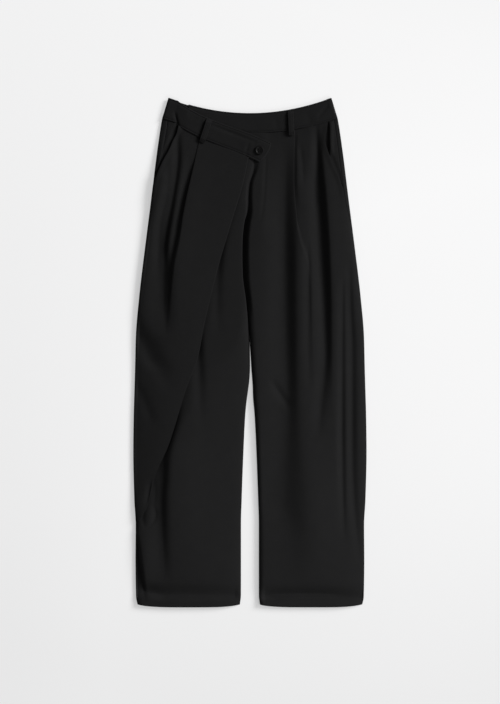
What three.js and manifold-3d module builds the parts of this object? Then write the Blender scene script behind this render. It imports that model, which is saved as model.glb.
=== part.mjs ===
// Barrel leg trousers with a wrapped front, lying on their back on a flat surface.
//
// Millimetres. X runs across, from the wearer's right (-X) to the wearer's left (+X),
// Y runs from the hems (-Y) to the waist (+Y), and Z is up off the surface.
// A place along the legs is called "up": its distance above the hems. "side" is -1 for
// the wearer's right and +1 for the left. A sheet's points lie midway in its cloth.

import * as THREE from 'three';
import { mergeVertices } from 'three/addons/utils/BufferGeometryUtils.js';
import Module from 'manifold-3d';

// ---------------------------------------------------------------- driving dimensions

const LENGTH = 1051;          // hems to the corners of the waist
const CLOTH = 1.0;            // one layer of suiting
const HEM_CLOTH = 1.6;        // the turned-up hem
const HEM_DEPTH = 20;
const BAND = 2.4;             // waistband: two layers and an interlining
const LOOP = 1.4;
const SEAM = 0.3;             // between two pieces sewn edge to edge
const LAP = 0.4;              // between two pieces that lie on each other
const LAYER = CLOTH + LAP;    // from one layer of cloth to the next
const FLOOR = CLOTH / 2;      // a panel that lies on the surface

const WAIST_DIP = 31.8;       // the waist's corners stand this far above its middle
const WAIST_HALF = 169;       // half the waist, along its top edge
const HIP_HALF = 181.5;       // half the waist seam, below the band
const SEAM_MIDDLE = 979.5;    // the waist seam at the centre front
const SEAM_DIP = 30;
const HEM_RISE = 5;           // a hem's two ends stand this far above its middle

// Outline of the trousers: "edge" is half the width over both legs and "gap" half the
// gap between them.
const OUTLINE = [
  { up: 0, edge: 231.5, gap: 20.5 },
  { up: 21, edge: 235.6, gap: 18.5 },
  { up: 96, edge: 236.7, gap: 18.4 },
  { up: 170, edge: 236.2, gap: 18.4 },
  { up: 220, edge: 239.0, gap: 17.0 },
  { up: 320, edge: 241.3, gap: 13.3 },
  { up: 395, edge: 240.4, gap: 9.6 },
  { up: 444, edge: 239.0, gap: 5.0 },
  { up: 500, edge: 237.4, gap: 1.0 },
  { up: 557, edge: 236.0, gap: SEAM / 2 },
  { up: 640, edge: 229.0, gap: SEAM / 2 },
  { up: 740, edge: 217.1, gap: SEAM / 2 },
  { up: 840, edge: 204.3, gap: SEAM / 2 },
  { up: 940, edge: 192.0, gap: SEAM / 2 },
  { up: 1010, edge: 181.5, gap: SEAM / 2 },
  { up: 1030, edge: 177.0, gap: SEAM / 2 },
  { up: 1052, edge: 169.0, gap: SEAM / 2 },
];

// The centre front seam wanders: x is its place.
const CENTRE = [
  { up: 0, x: 0 },
  { up: 420, x: 0 },
  { up: 468, x: 1.8 },
  { up: 557, x: 0.3 },
  { up: 626, x: -1.2 },
  { up: 690, x: -6.2 },
  { up: 746, x: -11.4 },
  { up: 779, x: -9.3 },
  { up: 804, x: -5.0 },
  { up: 822, x: -1.2 },
  { up: 841, x: 4.2 },
  { up: 882, x: 9.4 },
  { up: 924, x: 11.4 },
  { up: 990, x: 12.0 },
];

// How the legs stand off the surface: "crown" is the height of the front cloth, "side"
// that of the side edge and "inner" that of the centre seam or inner leg edge. The front
// rolls down to them over "sideRoll" and "innerRoll".
const LOFT = [
  { up: 0, crown: 6.6, side: 3.6, inner: 3.5, sideRoll: 12, innerRoll: 10 },
  { up: 60, crown: 7.6, side: 4.1, inner: 3.8, sideRoll: 16, innerRoll: 14 },
  { up: 170, crown: 9.0, side: 4.8, inner: 4.0, sideRoll: 20, innerRoll: 18 },
  { up: 320, crown: 10.5, side: 5.4, inner: 4.0, sideRoll: 22, innerRoll: 20 },
  { up: 450, crown: 11.0, side: 5.8, inner: 3.8, sideRoll: 22, innerRoll: 20 },
  { up: 557, crown: 11.2, side: 6.0, inner: 3.2, sideRoll: 22, innerRoll: 24 },
  { up: 700, crown: 11.6, side: 6.4, inner: 3.0, sideRoll: 22, innerRoll: 28 },
  { up: 800, crown: 11.2, side: 6.2, inner: 3.2, sideRoll: 20, innerRoll: 26 },
  { up: 880, crown: 9.4, side: 5.6, inner: 4.4, sideRoll: 17, innerRoll: 20 },
  { up: 940, crown: 6.9, side: 4.4, inner: 5.2, sideRoll: 14, innerRoll: 14 },
  { up: 980, crown: 5.7, side: 3.8, inner: 5.4, sideRoll: 11, innerRoll: 10 },
  { up: 1010, crown: 5.0, side: 3.4, inner: 5.4, sideRoll: 9, innerRoll: 10 },
];

// Distance in from the outline of the side seam and of the pocket mouth, on each side.
const RIGHT_HIP = [
  { up: 0, seam: 0, mouth: 0 },
  { up: 868, seam: 0, mouth: 0 },
  { up: 892, seam: 4.8, mouth: 4.8 },
  { up: 907, seam: 8.6, mouth: 9.2 },
  { up: 922, seam: 9.6, mouth: 14.5 },
  { up: 943, seam: 10.8, mouth: 23.3 },
  { up: 964, seam: 12.0, mouth: 29.5 },
  { up: 981, seam: 13.0, mouth: 34.0 },
  { up: 1010, seam: 13.2, mouth: 35.0 },
];
const LEFT_HIP = [
  { up: 0, seam: 0, mouth: 0 },
  { up: 765, seam: 0, mouth: 0 },
  { up: 800, seam: 4.0, mouth: 4.0 },
  { up: 838, seam: 7.4, mouth: 7.4 },
  { up: 862, seam: 8.0, mouth: 8.2 },
  { up: 876, seam: 8.2, mouth: 11.8 },
  { up: 891, seam: 8.4, mouth: 16.1 },
  { up: 911, seam: 8.6, mouth: 23.0 },
  { up: 937, seam: 8.4, mouth: 29.0 },
  { up: 959, seam: 8.0, mouth: 32.7 },
  { up: 990, seam: 7.4, mouth: 24.5 },
  { up: 1010, seam: 7.2, mouth: 19.5 },
];

// The free edge of the wrap panel, from the side seam up to the centre front.
const WRAP_EDGE = [
  { up: 176, x: -229.0 },
  { up: 214, x: -210.0 },
  { up: 266, x: -198.0 },
  { up: 334, x: -168.0 },
  { up: 448, x: -132.3 },
  { up: 516, x: -107.4 },
  { up: 584, x: -93.8 },
  { up: 642, x: -80.5 },
  { up: 711, x: -62.9 },
  { up: 756, x: -49.5 },
  { up: 795, x: -37.7 },
  { up: 824, x: -28.8 },
  { up: 858, x: -18.4 },
  { up: 891, x: -10.1 },
  { up: 930, x: -2.4 },
];
const WRAP_FOOT = 176;        // where the wrap's edge runs out at the side seam

// Knife pleats, folded away from the centre. "lap" is how far the cloth doubles back
// under the fold and "step" how far, in layers, the fold stands above what it covers.
const LEFT_PLEAT = [
  { up: 0, x: 152, lap: 0, step: 0 },
  { up: 300, x: 148, lap: 0, step: 0 },
  { up: 560, x: 132, lap: 0, step: 0 },
  { up: 650, x: 127, lap: 0, step: 0 },
  { up: 706, x: 121, lap: 0, step: 0.5 },
  { up: 760, x: 105, lap: 0, step: 1 },
  { up: 806, x: 96.5, lap: 3, step: 1 },
  { up: 882, x: 91.0, lap: 9, step: 1 },
  { up: 990, x: 92.4, lap: 13, step: 1 },
];
const RIGHT_PLEAT = [
  { up: 0, x: -235, lap: 0, step: 0 },
  { up: 176, x: -233.2, lap: 0, step: 0 },
  { up: 266, x: -221, lap: 0, step: 0 },
  { up: 448, x: -192, lap: 0, step: 0 },
  { up: 597, x: -171.6, lap: 0, step: 0 },
  { up: 704, x: -161.3, lap: 0, step: 0.8 },
  { up: 752, x: -152.1, lap: 0, step: 1 },
  { up: 838, x: -136.4, lap: 6, step: 1 },
  { up: 927, x: -115.1, lap: 12, step: 1 },
  { up: 990, x: -100.0, lap: 13, step: 1 },
];

// The largest folds of each visible layer. A fold runs from "head" down to "foot" through
// three places across the cloth, and its two slopes reach "left" (-X) and "right" (+X).
const LEFT_FOLDS = [
  { head: 880, foot: 90, xHead: 68, xMiddle: 75, xFoot: 88, depth: 4.4, left: 30, right: 17 },
  { head: 1030, foot: 430, xHead: 141, xMiddle: 155, xFoot: 159, depth: 3.7, left: 9, right: 11 },
  { head: 720, foot: 110, xHead: 217, xMiddle: 218, xFoot: 220, depth: 1.8, left: 8, right: 8 },
];
const UNDER_FOLDS = [
  { head: 770, foot: 570, xHead: -54, xMiddle: -58, xFoot: -57, depth: 2.4, left: 10, right: 9 },
  { head: 600, foot: 340, xHead: -94, xMiddle: -96, xFoot: -94, depth: 2.6, left: 11, right: 10 },
  { head: 350, foot: 50, xHead: -168, xMiddle: -179, xFoot: -171, depth: 3.4, left: 12, right: 10 },
  { head: 165, foot: 24, xHead: -233, xMiddle: -226, xFoot: -212, depth: 3.0, left: 7, right: 7 },
];
const WRAP_FOLDS = [
  { head: 1000, foot: 690, xHead: -141, xMiddle: -154, xFoot: -171, depth: 2.6, left: 8, right: 8 },
  { head: 740, foot: 530, xHead: -158, xMiddle: -168, xFoot: -174, depth: 4.2, left: 13, right: 12 },
  { head: 600, foot: 470, xHead: -232, xMiddle: -203, xFoot: -166, depth: 3.2, left: 20, right: 16 },
];

// The wrap's waistband: a slanting tab over the front band, from the pocket to its
// buttoned end. Its two long edges sag at first, and are straight again from "level" on.
const TAB = {
  top: { x: [-149.5, 42.8], up: [1044.5, 957.0], sag: 13.7, level: 0.78 },
  low: { x: [-149.5, 18.8], up: [995.3, 919.0], sag: 7.8, level: 0.68 },
};
const TAB_END_BULGE = 5;      // its pointed end is cut a little full
const TAB_HEIGHT = [
  { x: -150, z: 7.4 },
  { x: -128, z: 8.9 },
  { x: -40, z: 9.1 },
  { x: 15, z: 10.9 },
  { x: 45, z: 11.1 },
];

// The front waistband lies level. The back one lies on the surface and turns over onto the
// front at both hips, where it ends at these seams.
const BAND_FRONT = 6.0;
const BAND_ROLL = 5;
const BACK_ENDS = {
  right: { low: -149.9, top: -149.9, z: 6.9 },
  left: { low: 164.4, top: 160.4, z: 6.2 },
};
const FRONT_END_RIGHT = -127; // hidden under the tab

const LOOP_WIDTH = 11.8;
const BACK_LOOP_LENGTH = 51;
const BACK_LOOPS = { right: -98, centre: 0, left: 98 };
const LOOP_CLEAR = 9;         // the back is level this far beside a loop that it lies on
const LOOP_SLOPE = 12;        // and comes down to the surface over this width

const BUTTON = { x: 19.7, up: 942.5, radius: 8.9, thick: 3.0, hole: 0.9, holesAt: 1.9 };

// ---------------------------------------------------------------- curves and heights

const lerp = (a, b, t) => a + (b - a) * t;
const clamp = (t) => Math.min(1, Math.max(0, t));

function smooth(from, to, value) {
  const t = clamp((value - from) / (to - from));
  return t * t * (3 - 2 * t);
}

// The value that a function of itself settles on.
function settle(start, next) {
  let value = start;
  for (let turn = 0; turn < 8; turn += 1) value = next(value);
  return value;
}

// A smooth curve through one column of a table that never overshoots its rows.
function curve(rows, column, along = 'up') {
  const steps = rows.slice(1).map((row, i) => row[along] - rows[i][along]);
  const slopes = rows.slice(1).map((row, i) => (row[column] - rows[i][column]) / steps[i]);
  const bends = rows.map((row, i) => {
    if (i === 0 || i === rows.length - 1) return slopes[Math.min(i, slopes.length - 1)];
    const [before, after] = [slopes[i - 1], slopes[i]];
    return before * after <= 0 ? 0 : (2 * before * after) / (before + after);
  });
  return (value) => {
    const above = rows.findIndex((row) => value < row[along]);
    const i = above < 0 ? rows.length - 2 : Math.max(0, above - 1);
    const t = clamp((value - rows[i][along]) / steps[i]);
    const [t2, t3] = [t * t, t * t * t];
    return rows[i][column] * (2 * t3 - 3 * t2 + 1) + bends[i] * steps[i] * (t3 - 2 * t2 + t)
      + rows[i + 1][column] * (3 * t2 - 2 * t3) + bends[i + 1] * steps[i] * (t3 - t2);
  };
}

const outline = curve(OUTLINE, 'edge');
const edge = (up) => outline(up) - CLOTH / 2;
const openGap = curve(OUTLINE, 'gap');
const gap = (up) => openGap(up) + CLOTH / 2;
const centre = curve(CENTRE, 'x');
const [crown, sideHeight, innerHeight] = ['crown', 'side', 'inner'].map((key) => curve(LOFT, key));
const [sideRoll, innerRoll] = ['sideRoll', 'innerRoll'].map((key) => curve(LOFT, key));
const [rightSeam, rightMouth] = ['seam', 'mouth'].map((key) => curve(RIGHT_HIP, key));
const [leftSeam, leftMouth] = ['seam', 'mouth'].map((key) => curve(LEFT_HIP, key));
const seamIn = (side, up) => (side < 0 ? rightSeam(up) : leftSeam(up));
const mouthIn = (side, up) => (side < 0 ? rightMouth(up) : leftMouth(up));
const wrapEdge = curve(WRAP_EDGE, 'x');
const tabHeight = curve(TAB_HEIGHT, 'z', 'x');

const waistTop = (x) => LENGTH - WAIST_DIP * (1 - (x / WAIST_HALF) ** 2);
const waistSeam = (x) => SEAM_MIDDLE + SEAM_DIP * (x / HIP_HALF) ** 2;

// How far up a long edge of the slanting tab is, a share "u" of the way to its end.
function tabEdge({ up: [high, low], sag, level }, u) {
  return lerp(high, low, u) - 4 * sag * u * (1 - u) * (1 - u / level);
}
// The tab's lower edge, where the wrap panel hangs from it.
function tabLow(x) {
  const [from, to] = TAB.low.x;
  return tabEdge(TAB.low, (x - from) / (to - from));
}

// A quarter turn: 0 at the edge, 1 where the cloth lies level again.
const roll = (t) => (t <= 0 ? 0 : t >= 1 ? 1 : Math.sqrt(t * (2 - t)));

const foldsOf = (table) => (x, up) => {
  let height = 0;
  for (const fold of table) {
    const run = (fold.head - up) / (fold.head - fold.foot);
    if (run <= 0 || run >= 1) continue;
    const bend = (4 * fold.xMiddle - 2 * fold.xHead - 2 * fold.xFoot) * run * (1 - run);
    const aside = x - lerp(fold.xHead, fold.xFoot, run) - bend;
    const reach = aside < 0 ? fold.left : fold.right;
    const fade = smooth(0, 0.14, run) * smooth(0, 0.4, 1 - run);
    height -= fold.depth * fade * Math.exp(-((aside / reach) ** 2));
  }
  return height;
};
const leftFolds = foldsOf(LEFT_FOLDS);
const underFolds = foldsOf(UNDER_FOLDS);
const wrapFolds = foldsOf(WRAP_FOLDS);
const noFolds = () => 0;

// Height of the lowest front layer, which rolls down to the side edge and to the inner
// edge. "set" is how far its side edge is set in under another layer.
const HELD = 14;              // folds die away this near a seam
function bed(side, x, up, folds = noFolds, set = 0) {
  const fromSide = edge(up) - set - side * x;
  const fromInner = side * (x - centre(up)) - gap(up);
  const sideDrop = (crown(up) - sideHeight(up)) * (1 - roll(fromSide / sideRoll(up)));
  const innerDrop = (crown(up) - innerHeight(up)) * (1 - roll(fromInner / innerRoll(up)));
  const free = clamp(fromSide / HELD) * clamp(fromInner / HELD);
  return crown(up) - sideDrop - innerDrop + free * folds(x, up);
}

// The wearer's right has one layer more on top, which comes down to the same side edge.
const OVER = LAYER + 0.2;
function layerOver(side, x, up) {
  return side < 0 ? OVER * roll((edge(up) + x) / sideRoll(up)) : 0;
}

// A front layer lifts over the pocket facing, and over the edge of the fly.
function pocketLift(side, x, up) {
  const past = edge(up) - side * x - mouthIn(side, up);
  return LAYER * smooth(62, 34, past) * smooth(815, 848, up);
}
const FLY_FOOT = 795;         // the fly's edge lies over the under panel from here up
const flyLift = (x, up) => LAYER * smooth(44, 24, x) * smooth(FLY_FOOT - 50, FLY_FOOT, up);

// The back lies on the loops that are between it and the surface.
function loopLift(x, up) {
  const level = smooth(930, 950, up);
  const reach = LOOP_WIDTH / 2 + LOOP_CLEAR;
  const lifts = Object.values(BACK_LOOPS).map((at) => smooth(reach + LOOP_SLOPE, reach, Math.abs(x - at)));
  return (LOOP + SEAM) * level * Math.max(...lifts);
}

// ---------------------------------------------------------------- making solids

const SUITING = { color: 0x1c1c1d, roughness: 0.9, metalness: 0 };
const HORN = { color: 0x121213, roughness: 0.35, metalness: 0 };

const trousers = new THREE.Group();
trousers.position.y = -LENGTH / 2;

function addMesh(name, geometry, look) {
  const mesh = new THREE.Mesh(geometry, new THREE.MeshStandardMaterial(look));
  mesh.name = name;
  trousers.add(mesh);
  return mesh;
}

// A point midway in the cloth. "normal" is given only where an edge turns over.
const spot = (x, up, z, normal = null) => ({ at: new THREE.Vector3(x, up, z), normal });

// A closed wall through a grid of spots. grid[j][i] has j counting up the cloth and i
// across it. face(j) is the thickness on the side that across-turned-to-up points to, and
// back(j) the thickness on the other side.
function addSheet(name, grid, face, back = face) {
  const [rows, columns] = [grid.length, grid[0].length];
  const near = (j, i) => grid[Math.min(rows - 1, Math.max(0, j))][Math.min(columns - 1, Math.max(0, i))].at;
  const [faces, backs] = [[], []];
  for (let j = 0; j < rows; j += 1) {
    for (let i = 0; i < columns; i += 1) {
      const across = new THREE.Vector3().subVectors(near(j, i + 1), near(j, i - 1));
      const along = new THREE.Vector3().subVectors(near(j + 1, i), near(j - 1, i));
      const normal = grid[j][i].normal ?? across.cross(along).normalize();
      faces.push(grid[j][i].at.clone().addScaledVector(normal, face(j)));
      backs.push(grid[j][i].at.clone().addScaledVector(normal, -back(j)));
    }
  }
  const under = rows * columns;
  const triangles = [];
  const quad = (a, b, c, d) => triangles.push(a, b, c, a, c, d);
  for (let j = 0; j < rows - 1; j += 1) {
    for (let i = 0; i < columns - 1; i += 1) {
      const [a, b] = [j * columns + i, j * columns + i + 1];
      quad(a, b, b + columns, a + columns);
      quad(under + a, under + a + columns, under + b + columns, under + b);
    }
  }
  for (let i = 0; i < columns - 1; i += 1) {
    const top = (rows - 1) * columns + i;
    quad(i + 1, i, under + i, under + i + 1);
    quad(top, top + 1, under + top + 1, under + top);
  }
  for (let j = 0; j < rows - 1; j += 1) {
    const [first, last] = [j * columns, j * columns + columns - 1];
    quad(first, first + columns, under + first + columns, under + first);
    quad(last + columns, last, under + last, under + last + columns);
  }
  const points = [...faces, ...backs].flatMap((point) => point.toArray());
  const geometry = new THREE.BufferGeometry();
  geometry.setAttribute('position', new THREE.Float32BufferAttribute(points, 3));
  geometry.setIndex(triangles);
  addMesh(name, geometry, SUITING);
}

const halfCloth = () => CLOTH / 2;
const halfBand = () => BAND / 2;

// Fractions from 0 to 1, even or crowded towards an edge where the cloth turns over.
const fractions = (count) => Array.from({ length: count + 1 }, (_, i) => i / count);
const crowdStart = (q) => 1 - Math.cos((q * Math.PI) / 2);
const crowdEnd = (q) => Math.sin((q * Math.PI) / 2);
const crowdBoth = (q) => (1 - Math.cos(q * Math.PI)) / 2;

// Rows of a leg panel, hem to waist seam. They bend to the hem's curve and to the seam's.
const LEG_ROWS = [0, HEM_DEPTH - 1, HEM_DEPTH + 1, 60, 110, 170, 230, 300, 370, 440, 500, 557,
  610, 660, 706, 750, 795, 840, 868, 895, 920, 943, 964, SEAM_MIDDLE];
const BEND_HEM = 60;
const BEND_WAIST = 850;

function bent(level, side, x) {
  if (level < BEND_HEM) {
    const across = clamp((side * x - gap(level)) / (edge(level) - gap(level)));
    return level + HEM_RISE * (2 * across - 1) ** 4 * (1 - level / BEND_HEM);
  }
  if (level <= BEND_WAIST) return level;
  const t = (level - BEND_WAIST) / (SEAM_MIDDLE - BEND_WAIST);
  return lerp(BEND_WAIST, waistSeam(x) - SEAM, t);
}

// The hem is turned up on the inside of the leg.
const insideLeg = (j) => (LEG_ROWS[j] < HEM_DEPTH ? HEM_CLOTH - CLOTH / 2 : CLOTH / 2);

// The way the visible cloth faces where it turns over at the side.
function turnNormal(side, fromSide, up) {
  const [width, height] = [sideRoll(up), crown(up) + layerOver(side, 0, up) - sideHeight(up)];
  const turn = Math.acos(1 - clamp(fromSide / width));
  return new THREE.Vector3((side * Math.cos(turn)) / width, 0, Math.sin(turn) / height).normalize();
}
const towardsCentre = (side) => new THREE.Vector3(-side, 0, 0);

// The outer edge of a front layer: the side seam, or the pocket mouth above it.
const MIN_IN = 0.02;          // keeps the front's edge just above the back's
function frontEdge(side, up) {
  const mouth = mouthIn(side, up);
  return edge(up) - Math.max(MIN_IN, mouth + SEAM / 2 * smooth(0, 1, mouth));
}
const frontEdgeNormal = (side, up) => (
  mouthIn(side, up) - seamIn(side, up) < 1 ? turnNormal(side, seamIn(side, up), up) : null);

// The six points that take the cloth round a knife pleat: its fold, the doubled-back layer
// and the inner turn. x is measured outwards from the fold. As "lap" runs out they open
// into a step in the cloth.
const TURN = 0.9;
function pleatPoints(lap, step, room) {
  const doubled = Math.max(0, lap - 2 * TURN);
  const open = clamp(1 - lap / (3 * TURN));
  const wide = Math.min(1, room / 30);
  return [
    { x: -TURN, z: 1 },
    { x: 0, z: 0.5 },
    { x: lerp(-TURN, 0.5, open), z: 0 },
    { x: lerp(-TURN - doubled, 1.0, open), z: 0 },
    { x: lerp(-2 * TURN - doubled, 1.6, open), z: -0.5 },
    { x: lerp(-TURN - doubled, 2.4, open), z: -1 },
  ].map((point) => ({ x: point.x * wide, z: point.z * step * LAYER }));
}
// The cloth rises to the fold, and beyond it the layer below comes back to the bed.
const pleatRise = (outward, step) => LAYER * step * (outward < 0
  ? smooth(-45, -2, outward) : -smooth(40, 4, outward));

// ---------------------------------------------------------------- the pieces

// The wearer's left front: one knife pleat, a slanting pocket mouth, and the fly's edge.
function frontLeftLeg() {
  const [pleatX, lap, step] = ['x', 'lap', 'step'].map((key) => curve(LEFT_PLEAT, key));
  const grid = LEG_ROWS.map((level) => {
    const start = centre(level) + gap(level);
    const outer = settle(200, (x) => frontEdge(1, bent(level, 1, x)));
    const fold = pleatX(level);
    const before = fractions(6).map((q) => lerp(start, fold - 5, crowdStart(q)));
    const after = fractions(7).map((q) => lerp(fold + 5, outer, crowdEnd(q)));
    const columns = [
      ...before.map((x) => ({ x, z: pleatRise(x - fold, step(level)) })),
      ...pleatPoints(lap(level), step(level), 100).map(({ x, z }) => ({ x: fold + x, z })),
      ...after.map((x) => ({ x, z: pleatRise(x - fold, step(level)) })),
    ];
    return columns.map(({ x, z }, i) => {
      const up = bent(level, 1, x);
      const height = bed(1, x, up, leftFolds) + Math.max(pocketLift(1, x, up), flyLift(x, up)) + z;
      const inner = level < FLY_FOOT ? towardsCentre(1) : null;
      const ends = { 0: inner, [columns.length - 1]: frontEdgeNormal(1, up) };
      return spot(x, up, height, ends[i]);
    });
  });
  addSheet('front_left_leg', grid, halfCloth, insideLeg);
}

// The wearer's right front, under the wrap. It is set in where the wrap covers it, lies
// low to make room there, and runs under the edge of the fly.
const UNDER_FLY = 7;
const UNDER_COLUMNS = 12;
const NEXT_TO_EDGE = 1.2;
const SET_IN = 2.4;
const HIP_SET_IN = 2.6;
const LOW = 2.6;
const LOW_AT_WAIST = 1.2;
function frontRightLeg() {
  const grid = LEG_ROWS.map((level) => {
    const set = SET_IN * smooth(WRAP_FOOT - 26, WRAP_FOOT - 4, level);
    const hip = seamIn(-1, level) + HIP_SET_IN * smooth(850, 900, level);
    const tucked = UNDER_FLY * smooth(FLY_FOOT, FLY_FOOT + 45, level);
    const outer = Math.max(MIN_IN, hip) + set - edge(level);
    const inner = centre(level) - gap(level);
    const margin = NEXT_TO_EDGE * (1 - tucked / UNDER_FLY);
    const columns = fractions(UNDER_COLUMNS).map((q) => lerp(outer, inner - margin, crowdBoth(q)));
    return [...columns, inner + tucked].map((x, i) => {
      const up = bent(level, -1, x);
      const covered = smooth(0, 30, wrapEdge(up) - x) * smooth(WRAP_FOOT - 20, WRAP_FOOT + 20, up);
      const folds = (...place) => lerp(underFolds(...place), wrapFolds(...place), covered);
      const lies = i >= UNDER_COLUMNS && level >= FLY_FOOT ? centre(up) - gap(up) : x;
      const lower = lerp(LOW, LOW_AT_WAIST, smooth(910, 950, up));
      const low = lower * covered * clamp((edge(up) - set + x) / HELD);
      const height = bed(-1, lies, up, folds, set) - low;
      const side = hip > 0 ? null : turnNormal(-1, 0, up);
      const inside = level < FLY_FOOT ? towardsCentre(-1) : null;
      return spot(x, up, height, { 0: side, [UNDER_COLUMNS + 1]: inside }[i]);
    });
  });
  addSheet('front_right_leg', grid, halfCloth, insideLeg);
}

// The wrap: a second front over the wearer's right leg, with a free slanting edge from the
// centre front to the side seam and a pleat of its own. It hangs from the tab.
function wrapPanel() {
  const [pleatX, lap, step] = ['x', 'lap', 'step'].map((key) => curve(RIGHT_PLEAT, key));
  const shares = LEG_ROWS.filter((level) => level > WRAP_FOOT && level < SEAM_MIDDLE).map((level) => {
    const x = settle(-200, (out) => -frontEdge(-1, bent(level, -1, out)));
    return (bent(level, -1, x) - WRAP_FOOT) / (tabLow(x) - SEAM - WRAP_FOOT);
  });
  const grid = [0, ...shares, 1].map((v) => {
    const levelAt = (x) => lerp(WRAP_FOOT, tabLow(x) - SEAM, v);
    const outer = settle(-200, (x) => -frontEdge(-1, levelAt(x)));
    const inner = settle(-100, (x) => wrapEdge(levelAt(x)));
    const fold = settle(-160, (x) => pleatX(levelAt(x)));
    const level = levelAt(fold);
    const room = Math.min(inner - fold, fold - outer);
    const margin = Math.min(5, room / 4);
    const before = fractions(6).map((q) => lerp(outer, fold - margin, crowdStart(q)));
    const after = fractions(5).map((q) => lerp(fold + margin, inner, q));
    const columns = [
      ...before.map((x) => ({ x, z: pleatRise(fold - x, step(level)) })),
      ...pleatPoints(lap(level), step(level), room).reverse().map(({ x, z }) => ({ x: fold - x, z })),
      ...after.map((x) => ({ x, z: pleatRise(fold - x, step(level)) })),
    ];
    return columns.map(({ x, z }, i) => {
      const up = levelAt(x);
      const height = bed(-1, x, up, wrapFolds) + layerOver(-1, x, up) + pocketLift(-1, x, up) + z;
      return spot(x, up, height, i === 0 ? frontEdgeNormal(-1, up) : null);
    });
  });
  addSheet('wrap_panel', grid, halfCloth);
}

// A back leg: down from the side seam, round the side edge, flat on the surface, and up
// again at the inner edge below the crotch.
const CROTCH = 557;
const BACK_ROLL = 12;
const INNER_BACK_ROLL = 9;
const FLAT_LINES = [125, 113, 83, 71];
const FLAT_LINES_INNER = [27, 15];
function backLeg(name, side) {
  const centreBack = (up) => centre(Math.min(up, CROTCH)) * smooth(CROTCH + 120, CROTCH, up);
  const grid = LEG_ROWS.map((level) => {
    const flatSeam = (CLOTH / 2) * smooth(CROTCH - 60, CROTCH + 30, level);
    const inner = side * centreBack(level) + gap(level) - flatSeam;
    const row = [];
    for (const q of fractions(5)) {
      const seam = Math.max(0, seamIn(side, level) - SEAM / 2);
      const turn = lerp(Math.acos(1 - clamp(seam / sideRoll(level))), -Math.PI / 2, q);
      const from = (turn > 0 ? sideRoll(level) : BACK_ROLL) * (1 - Math.cos(turn));
      const x = side * settle(200, (out) => edge(bent(level, side, side * out)) - from);
      const up = bent(level, side, x);
      const rise = (sideHeight(up) - SEAM / 2 - FLOOR) * (1 + Math.sin(turn));
      const height = turn > 0 ? bed(side, x, up) + layerOver(side, x, up) : FLOOR + rise;
      row.push(spot(x, up, height, q === 0 ? turnNormal(side, seam, up).multiplyScalar(side) : null));
    }
    for (const line of [...FLAT_LINES, ...FLAT_LINES_INNER.map((out) => inner + out)]) {
      const x = side * line;
      const up = bent(level, side, x);
      row.push(spot(x, up, FLOOR + loopLift(x, up)));
    }
    for (const q of fractions(2)) {
      const turn = (Math.PI / 2) * q;
      const x = side * (inner + INNER_BACK_ROLL * (1 - Math.sin(turn)));
      const up = bent(level, side, x);
      const lift = smooth(CROTCH + 30, CROTCH - 60, up);
      const rise = (innerHeight(up) - SEAM - FLOOR) * lift * (1 - Math.cos(turn));
      const edgeNormal = new THREE.Vector3(-side * lift, 0, lift - 1).normalize().multiplyScalar(side);
      row.push(spot(x, up, FLOOR + loopLift(x, up) + rise, q === 1 ? edgeNormal : null));
    }
    return row;
  });
  if (side > 0) addSheet(name, grid, halfCloth, insideLeg);
  else addSheet(name, grid, insideLeg, halfCloth);
}

// A pocket facing fills the pocket mouth, sewn to the side seam and running in under the
// front.
const FACING_FOOT = 868;
const FACING_UNDER = 16;
const FACING_CLEAR = 1.5;     // at its top the right one stops short of the tab
const NEAR_TAB = 972;
const FACING_SUNK = 1.2;      // the left one's hidden part lies this much lower
const FACING_SUNK_RIGHT = 0.7;
function pocketFacing(name, side, folds) {
  const levels = [...LEG_ROWS.filter((level) => level >= FACING_FOOT), NEAR_TAB];
  levels.sort((a, b) => a - b);
  const grid = levels.map((level) => fractions(4).map((u) => {
    const full = side < 0 ? smooth(NEAR_TAB, NEAR_TAB - 10, level) : 1;
    const under = lerp(-FACING_CLEAR, FACING_UNDER, full);
    const seam = seamIn(side, level) + SEAM;
    const from = lerp(seam, mouthIn(side, level) + under, u);
    const x = side * settle(180, (out) => edge(bent(level, side, side * out)) - from);
    const up = bent(level, side, x);
    const normal = u === 0 ? turnNormal(side, seam, up).multiplyScalar(-side) : null;
    const sunk = (side < 0 ? FACING_SUNK_RIGHT : FACING_SUNK) * smooth(0, 9, from - mouthIn(side, level));
    return spot(x, up, bed(side, x, up, folds) + layerOver(side, x, up) - sunk, normal);
  }));
  addSheet(name, grid, halfCloth);
}

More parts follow.
